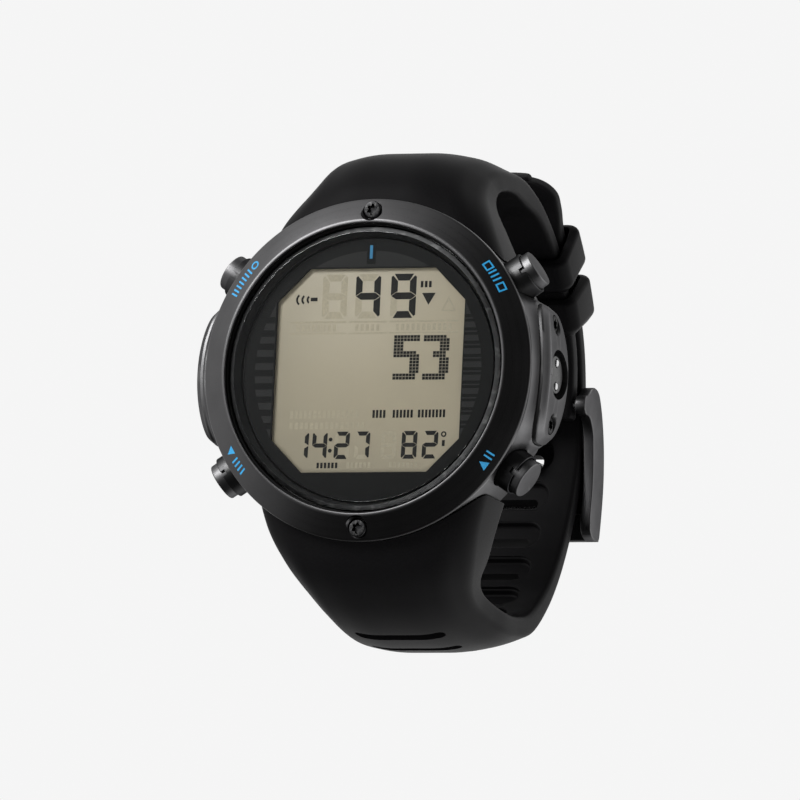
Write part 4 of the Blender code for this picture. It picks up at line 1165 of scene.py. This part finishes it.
def make_button(name, angle):
    """A cap with a skirt and a grooved stem, and the collar that it slides in."""
    at = button_frame(angle)
    rim, floor, skirt, stem, groove = BUTTON_TOP - 2.35, BUTTON_TOP - 1.45, 2.15, 0.85, 0.6
    cap = [(0, BUTTON_TOP, 0), (BUTTON_RADIUS - 0.04, BUTTON_TOP, 0.2), (BUTTON_RADIUS, rim, 0.1)]
    cap += [(skirt, rim, 0.1), (skirt, floor, 0.05), (stem, floor, 0.1)]
    for high, low in ((20.75, 20.1), (18.25, 17.75)):
        cap += [(stem, high, 0.05), (groove, high, 0), (groove, low, 0), (stem, low, 0.05)]
    cap += [(stem, 17.5, 0.05), (0, 17.5, 0)]
    add_piece(f"button_{name}_cap", moved(spun(cap, 96), at), SATIN, [f"button_{name}"])
    bore, foot, shelf = BUTTON_RADIUS + 0.1, 21.55, 22.3
    collar = [
        (bore, COLLAR_TOP, 0.06), (COLLAR_RADIUS, COLLAR_TOP, 0.12), (COLLAR_RADIUS, foot, 0),
        (1.05, foot, 0), (1.05, shelf, 0), (bore, shelf, 0),
    ]
    keyway = slab(rounded_rectangle(0.7, 0.4, 0.15, 3), COLLAR_TOP - 0.7, COLLAR_TOP + 1)
    shape = carved(ringed(collar, 96), [shifted(keyway, COLLAR_RADIUS - 0.25, 0)])
    add_piece(f"button_{name}_collar", moved(shape, at), COLLAR, [f"button_collar_{name}"])


def make_spring(name, angle):
    """A coil between the collar's floor and the cap."""
    at = button_frame(angle)
    low, high = 22.5, BUTTON_TOP - 1.6
    coil_radius, wire, turns, steps = 1.25, 0.17, 3.5, 84
    rings = []
    for k in range(steps + 1):
        a = 2 * math.pi * turns * k / steps
        height = low + wire + (high - low - 2 * wire) * k / steps
        out = Vector((math.cos(a), math.sin(a), 0))
        middle = out * coil_radius + Vector((0, 0, height))
        rings.append([middle + out * x + Vector((0, 0, y)) for x, y in circle(wire, 8)])
    coil = moved(skinned(rings), at)
    piece = add_piece(f"button_{name}_coil", coil, DARK_STEEL, [f"button_spring_{name}"])
    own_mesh(piece)


# ---------------------------------------------------------------- strap


def along(values, t):
    """Catmull-Rom through a list of equal-length tuples, with t counted in list steps."""
    i = min(max(int(math.floor(t)), 0), len(values) - 2)
    f = t - i
    a, b, c, d = (values[min(max(k, 0), len(values) - 1)] for k in (i - 1, i, i + 1, i + 2))
    made = []
    for p, q, r, s in zip(a, b, c, d):
        square, cube = 2 * p - 5 * q + 4 * r - s, 3 * q - p - 3 * r + s
        made.append(0.5 * (2 * q + (r - p) * f + square * f * f + cube * f**3))
    return tuple(made)


def on_wrap(radius, degrees):
    """A place (y, z) on the straps' shared bend; the angle grows towards the buckle."""
    a = math.radians(degrees)
    return (WRAP_CENTRE[0] + radius * math.cos(a), WRAP_CENTRE[1] - radius * math.sin(a))


def upper_line():
    return UPPER_LINE_START + [on_wrap(WRAP_RADIUS, a) for a in UPPER_WRAP_DEGREES] + UPPER_LINE_END


def lower_line():
    radius = WRAP_RADIUS + STRAP_THICKNESS + LAYER_GAP
    return LOWER_LINE_START + [on_wrap(radius, a) for a in LOWER_WRAP_DEGREES] + LOWER_LINE_END


def line_normal(line, t):
    """The normal of a middle line at t, to the left of its direction."""
    ahead, behind = along(line, t + 0.05), along(line, t - 0.05)
    dy, dz = ahead[0] - behind[0], ahead[1] - behind[1]
    size = math.hypot(dy, dz)
    return (-dz / size, dy / size)


def line_stations(line, outward, thickness, half_width):
    stations = []
    for i, (y, z) in enumerate(line):
        ny, nz = line_normal(line, i)
        h = outward * thickness[i] / 2
        inner, outer = (y - ny * h, z - nz * h), (y + ny * h, z + nz * h)
        stations.append((inner, outer, half_width[i], thickness[i] * 0.86))
    return stations


def upper_stations():
    line = upper_line()
    thickness = [4.2, 3.3] + [STRAP_THICKNESS] * (len(line) - 2)
    return UPPER_ROOT + line_stations(line, 1, thickness, [STRAP_HALF_WIDTH] * len(line))


def lower_stations():
    line = lower_line()
    middle = len(line) - 3 - len(TIP_THICKNESSES)
    thickness = [3.9, 3.5, 3.2] + [STRAP_THICKNESS] * middle + TIP_THICKNESSES
    widths = [STRAP_HALF_WIDTH] * (len(line) - len(TIP_HALF_WIDTHS)) + TIP_HALF_WIDTHS
    return LOWER_ROOT + line_stations(line, -1, thickness, widths)


def strap_section(station):
    """One cross-section: flat on the wrist side, crowned on the outside, with soft edges."""
    (iy, iz, oy, oz, half, edge) = station
    thick = math.hypot(oy - iy, oz - iz)
    ny, nz = (oy - iy) / thick, (oz - iz) / thick
    r = min(0.55, edge * 0.3)
    crown = thick - edge
    right = [
        (half, 0.0, r * 1.3), (half, edge * 0.86, edge * 0.2),
        (half * 0.78, edge + crown * 0.55, half * 0.11),
        (half * 0.4, edge + crown * 0.93, half * 0.17),
    ]
    left = [(-x, h, reach) for x, h, reach in reversed(right)]
    loop = rounded(right + left, 5)
    return [(x, iy + ny * h, iz + nz * h) for x, h in loop]


def strap_skin(stations, left_off, steps_each=12):
    flat = [(*inner, *outer, half, edge) for inner, outer, half, edge in stations]
    count = (len(flat) - 1) * steps_each
    rings = [strap_section(along(flat, k / steps_each)) for k in range(count + 1 - left_off)]
    return skinned(rings + end_rings(rings))


def end_rings(rings):
    """Rings that round off the free end, drawn in towards its middle."""
    last, before = rings[-1], rings[-2]
    middle = sum((Vector(p) for p in last), Vector()) / len(last)
    ahead = (middle - sum((Vector(p) for p in before), Vector()) / len(before)).normalized()
    made = []
    for k in range(1, 5):
        a = math.pi / 2 * k / 4
        shrink, reach = 0.55 * (1 - math.cos(a)), 0.55 * math.sin(a)
        ring = []
        for p in last:
            inward = middle - Vector(p)
            inset = inward.normalized() * min(shrink, inward.length * 0.8)
            ring.append(Vector(p) + inset + ahead * reach)
        made.append(ring)
    return made


def flared(outline, levels):
    """A cutter through the levels (z, how far the outline is let out)."""
    return skinned([[(x, y, z) for x, y in drawn_in(outline, -out)] for z, out in levels])


def lip(surface, direction, radius, steps=4):
    """Levels that round an opening's rim where it meets a surface."""
    made = []
    for k in range(steps + 1):
        a = math.pi / 2 * k / steps
        made.append((surface - direction * radius * (1 - math.sin(a)), radius * (1 - math.cos(a))))
    return made


def slot_frames():
    """The middle of each buckle slot, counted both ways from the one that holds the tongue."""
    root = [((i[0] + o[0]) / 2, (i[1] + o[1]) / 2) for i, o, _, _ in LOWER_ROOT[3:]]
    path = root + lower_line()
    samples = [along(path, k / 20) for k in range((len(path) - 1) * 20 + 1)]
    lengths = [0.0]
    for p, q in zip(samples, samples[1:]):
        lengths.append(lengths[-1] + math.dist(p, q))
    below = [k for k in range(len(samples)) if samples[k][1] <= -30]
    start = min(below, key=lambda k: abs(samples[k][0] - CROSSING_Y))
    frames = []
    for k in range(-SLOTS_TO_CASE, SLOTS_TO_TIP + 1):
        target = lengths[start] + k * SLOT_PITCH
        at = min(range(1, len(samples) - 1), key=lambda i: abs(lengths[i] - target))
        y, z = samples[at]
        dy, dz = samples[at + 1][0] - samples[at - 1][0], samples[at + 1][1] - samples[at - 1][1]
        frames.append(place_at((0, y, z), (1, 0, 0), (0, -dz, dy)))
    return frames


def root_seat():
    """The room of the round case, which a strap half closes on."""
    profile = [
        (0.0, 20.0), (BEZEL_RADIUS + 0.2, 20.0), (BEZEL_RADIUS + 0.2, CASE_TOP_Z - 0.1),
        (CASE_RADIUS + 0.2, CASE_TOP_Z - 0.1), (CASE_RADIUS + 0.2, -6.0), (0.0, -6.0),
    ]
    return bored(profile, 2 * FINE)


def root_tools(side):
    rooms = [
        moved(rod(COLLAR_RADIUS + 0.45, 15.0, 30.0, 64), button_frame(angle))
        for angle in BUTTONS.values()
        if side * math.sin(angle) > 0
    ]
    reach = STRAP_PIN_HALF + 0.2
    pin = moved(rod(STRAP_PIN_RADIUS + 0.1, -reach, reach, 32), lug_frame(side))
    return [root_seat(), joined(rooms), lug(side, 0.3), pin]


def make_strap_pin(side, name):
    pin = moved(rod(STRAP_PIN_RADIUS, -STRAP_PIN_HALF, STRAP_PIN_HALF, 48, 0.2), lug_frame(side))
    add_piece(f"spring_bar_{name}", pin, BRIGHT_STEEL, [f"strap_pin_{name}"])


def make_upper_strap():
    """The short strap half, which holds the buckle's pin."""
    shape = strap_skin(upper_stations(), 2)
    pivot = across_frame(PIVOT_Y, PIVOT_Z)
    half_width, half_length = TONGUE_HALF_WIDTH + 0.4, 4.0
    room = slab(rounded_rectangle(half_width, half_length, 0.5), PIVOT_Z - 4.1, PIVOT_Z + 4.9)
    tools = root_tools(1) + [
        moved(rod(PIVOT_RADIUS + 0.1, -13, 13, 32), pivot),
        shifted(room, 0, PIVOT_Y + 2.4 - half_length),
    ]
    add_piece("strap_short_half", carved(shape, tools), RUBBER, ["strap_upper"])
    make_strap_pin(1, "upper")


def make_lower_strap():
    """The long strap half with its buckle slots; most have a shallow recess on the outside."""
    shape = strap_skin(lower_stations(), 9)
    wide, narrow, recess = [
        rounded_rectangle(half_width, length / 2, length / 2 - 0.1, 8)
        for half_width, length in (
            (SLOT_HALF_WIDTH, SLOT_LENGTH), (SLOT_HALF_WIDTH, SLOT_LIPS),
            (SLOT_RECESS_HALF_WIDTH, SLOT_RECESS_LENGTH),
        )
    ]
    floor = STRAP_THICKNESS / 2 - SLOT_RECESS_DEPTH
    face = STRAP_THICKNESS / 2
    levels = [(-5.0, 0.3)] + lip(-face, -1, 0.3)[::-1] + [(5.0, 0.0)]
    recess_levels = [(floor, -0.25), (floor + 0.15, -0.05), (floor + 0.3, 0.0)]
    recess_levels += lip(face, 1, 0.25) + [(4.0, 0.25)]
    slots, recesses = [], []
    for i, at in enumerate(slot_frames()):
        slots.append(moved(flared(wide if i == SLOTS_TO_CASE else narrow, levels), at))
        if i in RECESSED_SLOTS:
            recesses += at_each(at, [SLOT_RECESS_SHIFT], lambda: flared(recess, recess_levels))
    tools = root_tools(-1) + [joined(slots), joined(recesses)]
    add_piece("strap_long_half", carved(shape, tools), RUBBER, ["strap_lower"])
    make_strap_pin(-1, "lower")


# ---------------------------------------------------------------- keepers and buckle


def make_keeper(node, degrees):
    """A boxy rubber loop round both strap layers, bent along them, with soft rims."""
    half_x = STRAP_HALF_WIDTH + KEEPER_PLAY
    half_y = STRAP_THICKNESS + LAYER_GAP / 2 + KEEPER_PLAY
    inner = rounded_rectangle(half_x, half_y, 0.7, 6)
    length, wall = KEEPER_LENGTH / 2, KEEPER_WALL
    soft = 0.5
    profile = rounded(
        [
            (-length, 0, 0.3), (length, 0, 0.3), (length - KEEPER_SLANT, wall, soft), (0, wall, 0),
            (0.4 - length, wall, soft),
        ],
        5,
    )
    centre_radius = WRAP_RADIUS + (STRAP_THICKNESS + LAYER_GAP) / 2
    rings = []
    for s, out in profile:
        ring = []
        for x, y in drawn_in(inner, -out):
            angle = degrees + math.degrees(s / centre_radius)
            across, height = on_wrap(centre_radius + y, angle)
            ring.append((x, across, height))
        rings.append(ring)
    add_piece(node + "_loop", skinned(rings, wrap=True), RUBBER, [node])


def cheek_outline():
    """The buckle cheek seen from its side, as (y, z): an ear at the pin, and a bowed outer edge."""
    ear = [(y, z, 0.0) for y, z in arc((PIVOT_Y, PIVOT_Z), 1.35, 180, 0, 20)]
    top = [(6.0, -38.3, 0.8), (6.3, -39.6, 1.0), (5.9, -41.4, 1.2), (3.6, -42.8, 1.5)]
    outer_edge = [(0.9, -43.8, 2.0), (-2.0, -44.5, 2.0), (-6.1, -44.9, 2.4), (-10.3, -44.6, 2.0)]
    foot = [(-14.2, -44.0, 0.5), (-14.6, -42.8, 0.5), (-14.3, -41.2, 0.8), (-13.5, -40.1, 1.0)]
    front_edge = [(-11.5, -39.8, 1.0), (-6.0, -40.5, 3.0), (0.4, -39.6, 1.5), (2.0, -38.1, 0.8)]
    return rounded(ear + top + outer_edge + foot + front_edge, 5)


def rail_outline():
    """The thin outer wall beside the tongue, seen from its side, as (y, z)."""
    outer = [(-1.2, -44.15), (-2.4, -44.4), (-6.1, -44.75), (-10.3, -44.4), (-13.4, -44.0)]
    return outer + [(y, z + RAIL_THICKNESS) for y, z in reversed(outer)]


def make_buckle():
    """Two cheeks joined by a bar, with a thin rail beside the tongue on either side."""
    flank = across_frame()
    across, room = CHEEK_OUTER_X - 0.3, TONGUE_HALF_WIDTH + 0.5
    low, high = BAR_OUTER_Z + 0.38, BAR_OUTER_Z + 2.0
    corners = [(-14.35, low), (-10.6, low), (-10.6, high), (-14.35, high)]
    bar = rounded([(y, z, 0.3) for y, z in corners], 4)
    cheek, rail = facing_out(cheek_outline()), facing_out(rail_outline())
    plates = [
        (cheek, CHEEK_INNER_X, CHEEK_OUTER_X, 0.18), (bar, -across, across, 0.0),
        (cheek, -CHEEK_OUTER_X, -CHEEK_INNER_X, 0.18),
        (rail, room, across, 0.0), (rail, -across, -room, 0.0),
    ]
    first, *others = [moved(slab(*plate), flank) for plate in plates]
    shape = carved(first, others, "UNION")
    notch = slab(rounded_rectangle(room, 5.0, 0.3, 3), -50.0, BAR_OUTER_Z + 1.0)
    pivot = across_frame(PIVOT_Y, PIVOT_Z)
    reach = CHEEK_OUTER_X - 0.6
    bore = moved(rod(PIVOT_RADIUS + 0.1, -reach, reach, 48), pivot)
    add_piece("buckle_loop", carved(shape, [shifted(notch, 0, -12.5), bore]), SATIN, ["buckle_frame"])
    pin = moved(rod(PIVOT_RADIUS, 0.2 - reach, reach - 0.2, 48, 0.2), pivot)
    add_piece("buckle_bar_pin", pin, BRIGHT_STEEL, ["buckle_pin"])
    make_tongue(flank, pivot)


def make_tongue(flank, pivot):
    """A wide stepped tongue: along the wrist side, out through a slot, then over the buckle's bar."""
    thick = TONGUE_THICKNESS
    barrel = [(y, z, 0.0) for y, z in arc((PIVOT_Y, PIVOT_Z), 1.7, 215, 520, 36)]
    low = BAR_OUTER_Z + 1.0 - 0.15
    near = CROSSING_Y - TONGUE_SHIFT + thick / 2
    far = CROSSING_Y - TONGUE_SHIFT - thick / 2
    step = [
        (far, -37.2, 0.4), (far, low, 0.2), (-14.2, low, 0.15), (-14.6, low - 0.3, 0.2),
        (-14.2, low - thick, 0.2), (near, low - thick, 0.5), (near, -38.1, 0.3),
    ]
    outline = rounded(barrel + step, 4)
    shape = moved(slab(facing_out(outline), -TONGUE_HALF_WIDTH, TONGUE_HALF_WIDTH, 0.12, 2), flank)
    bore = moved(rod(PIVOT_RADIUS + 0.1, -10, 10, 48), pivot)
    add_piece("tongue_plate", carved(shape, [bore]), BRIGHT_STEEL, ["buckle_tongue"])


# ---------------------------------------------------------------- pieces kept from the CAD

KEPT = {
    "antenna_coil": GOLD,
    "buzzer": GOLD,
    "pressure_sensor": GOLD,
    "battery": CAN,
    "circuit_board": BOARD,
    "module_frame": BLACK,
    "backlight_panel": PORT_GREY,
    "back_gasket": BLACK,
}


def finish_kept_nodes():
    """Gives each CAD node that stays its material, with smooth round walls."""
    for name, node in frame["nodes"].items():
        if node.hide_render:
            continue
        material = KEPT.get(name, BRIGHT_STEEL)
        if name.startswith("button_seal"):
            material = BLACK
        elif name.startswith("button_"):
            material = DARK_STEEL
        shaded(node.data, material)


# ---------------------------------------------------------------- stage

CAMERA_DISTANCE = 1.5
CAMERA_SPAN = 0.1068
CAMERA_RIGHT = Vector((0.9386, 0.339, 0.0464)).normalized()
CAMERA_UP_HINT = Vector((0.0089, -0.161, 0.987))
CAMERA_OFFSET = (-0.000459, -0.001741)
SENSOR = 36.0
FLOOR_Z = -0.3
DOME_DIRECTION = (-0.84, -0.05, 0.45)
DOME_BRIGHTNESS = 0.82
BACKDROP = 0.915
REAR_DIRECTION = (0.42, 0.9, 0.0)


def make_camera():
    """A long lens a little below the dial's axis, from the front and 3 o'clock side."""
    back = CAMERA_RIGHT.cross(CAMERA_UP_HINT).normalized()
    up = back.cross(CAMERA_RIGHT)
    data = bpy.data.cameras.new("camera")
    data.sensor_width = SENSOR
    data.lens = SENSOR * CAMERA_DISTANCE / CAMERA_SPAN
    data.clip_end = 100
    camera = linked("camera", data)
    matrix = Matrix((CAMERA_RIGHT, up, back)).transposed().to_4x4()
    right_shift, up_shift = CAMERA_OFFSET
    matrix.translation = CAMERA_RIGHT * right_shift + up * up_shift + back * CAMERA_DISTANCE
    camera.matrix_world = matrix
    bpy.context.scene.camera = camera


def make_light(name, direction, distance, size, brightness, colour=(1, 1, 1)):
    """A square soft light that faces the object; brightness is what a mirror would show."""
    data = bpy.data.lights.new(name, "AREA")
    data.shape = "RECTANGLE"
    data.size, data.size_y = size
    data.energy = brightness * math.pi * size[0] * size[1]
    data.color = colour
    towards = Vector(direction).normalized()
    linked(name, data).matrix_world = place_at(towards * distance, (0, 0, 1), towards)


def make_world():
    """A pale backdrop, seen as it is. The object sees it bright behind the wrist and at upper left."""
    world = bpy.data.worlds.new("studio")
    bpy.context.scene.world = world
    world.use_nodes = True
    tree = world.node_tree
    background = tree.nodes["Background"]
    place = tree.nodes.new("ShaderNodeTexCoord").outputs["Generated"]

    def glow(direction, start, end, low, high):
        """A soft cap of light round a direction, by the cosine of the angle from it."""
        ends = {0: place, 1: Vector(direction).normalized()}
        cosine = wired(tree, "ShaderNodeVectorMath", ends, operation="DOT_PRODUCT").outputs["Value"]
        return ranged(tree, cosine, low, high, start, end, interpolation_type="SMOOTHSTEP")

    rear = glow(REAR_DIRECTION, -0.05, 0.8, 0.035, 1.2)
    dome = glow(DOME_DIRECTION, 0.2, 0.8, 0.0, DOME_BRIGHTNESS)
    brighter = wired(tree, "ShaderNodeMath", {0: rear, 1: dome}, operation="MAXIMUM").outputs[0]
    seen = tree.nodes.new("ShaderNodeLightPath").outputs["Is Camera Ray"]
    pick = wired(tree, "ShaderNodeMix", {"Factor": seen, "A": brighter, "B": BACKDROP})
    tree.links.new(pick.outputs["Result"], background.inputs["Strength"])
    background.inputs["Color"].default_value = (1, 1, 1, 1)


def make_floor():
    """A wide pale floor well below the object."""
    shape = bmesh.new()
    bmesh.ops.create_grid(shape, x_segments=8, y_segments=8, size=30.0)
    floor = loose_object("floor", shape)
    floor.location.z = FLOOR_Z
    surface = Surface("floor_paint", "plastic_black", (0.8, 0.8, 0.8), 0.9)
    surface.clouded(surface.noise(0.02, 2.0), (0.8, 0.8, 0.8), (0.82, 0.82, 0.82))
    floor.data.materials.append(surface.material)
    floor.visible_glossy = False


def make_stage():
    bpy.context.scene.view_settings.view_transform = "Standard"
    make_world()
    make_floor()
    make_camera()
    make_light("key", (-0.5, -0.68, 0.54), 1.0, (0.56, 0.56), 8.9)
    make_light("low_right", (0.75, -0.1, -0.55), 0.28, (0.12, 0.2), 1.2)
    make_light("right", (0.98, 0.12, 0.05), 0.5, (0.25, 0.25), 0.5)


make_case()
make_bezel()
make_screws()
make_glass()
make_case_back()
make_dial()
make_display_marks()
make_bezel_marks()
for cover_side, cover_name in ((1, "right"), (-1, "left")):
    make_cover(cover_side, cover_name)
make_port()
for button_name, button_angle in BUTTONS.items():
    make_button(button_name, button_angle)
    make_spring(button_name, button_angle)
make_upper_strap()
make_lower_strap()
for keeper_name, keeper_place in KEEPERS.items():
    make_keeper(keeper_name, keeper_place)
make_buckle()
finish_kept_nodes()
make_stage()
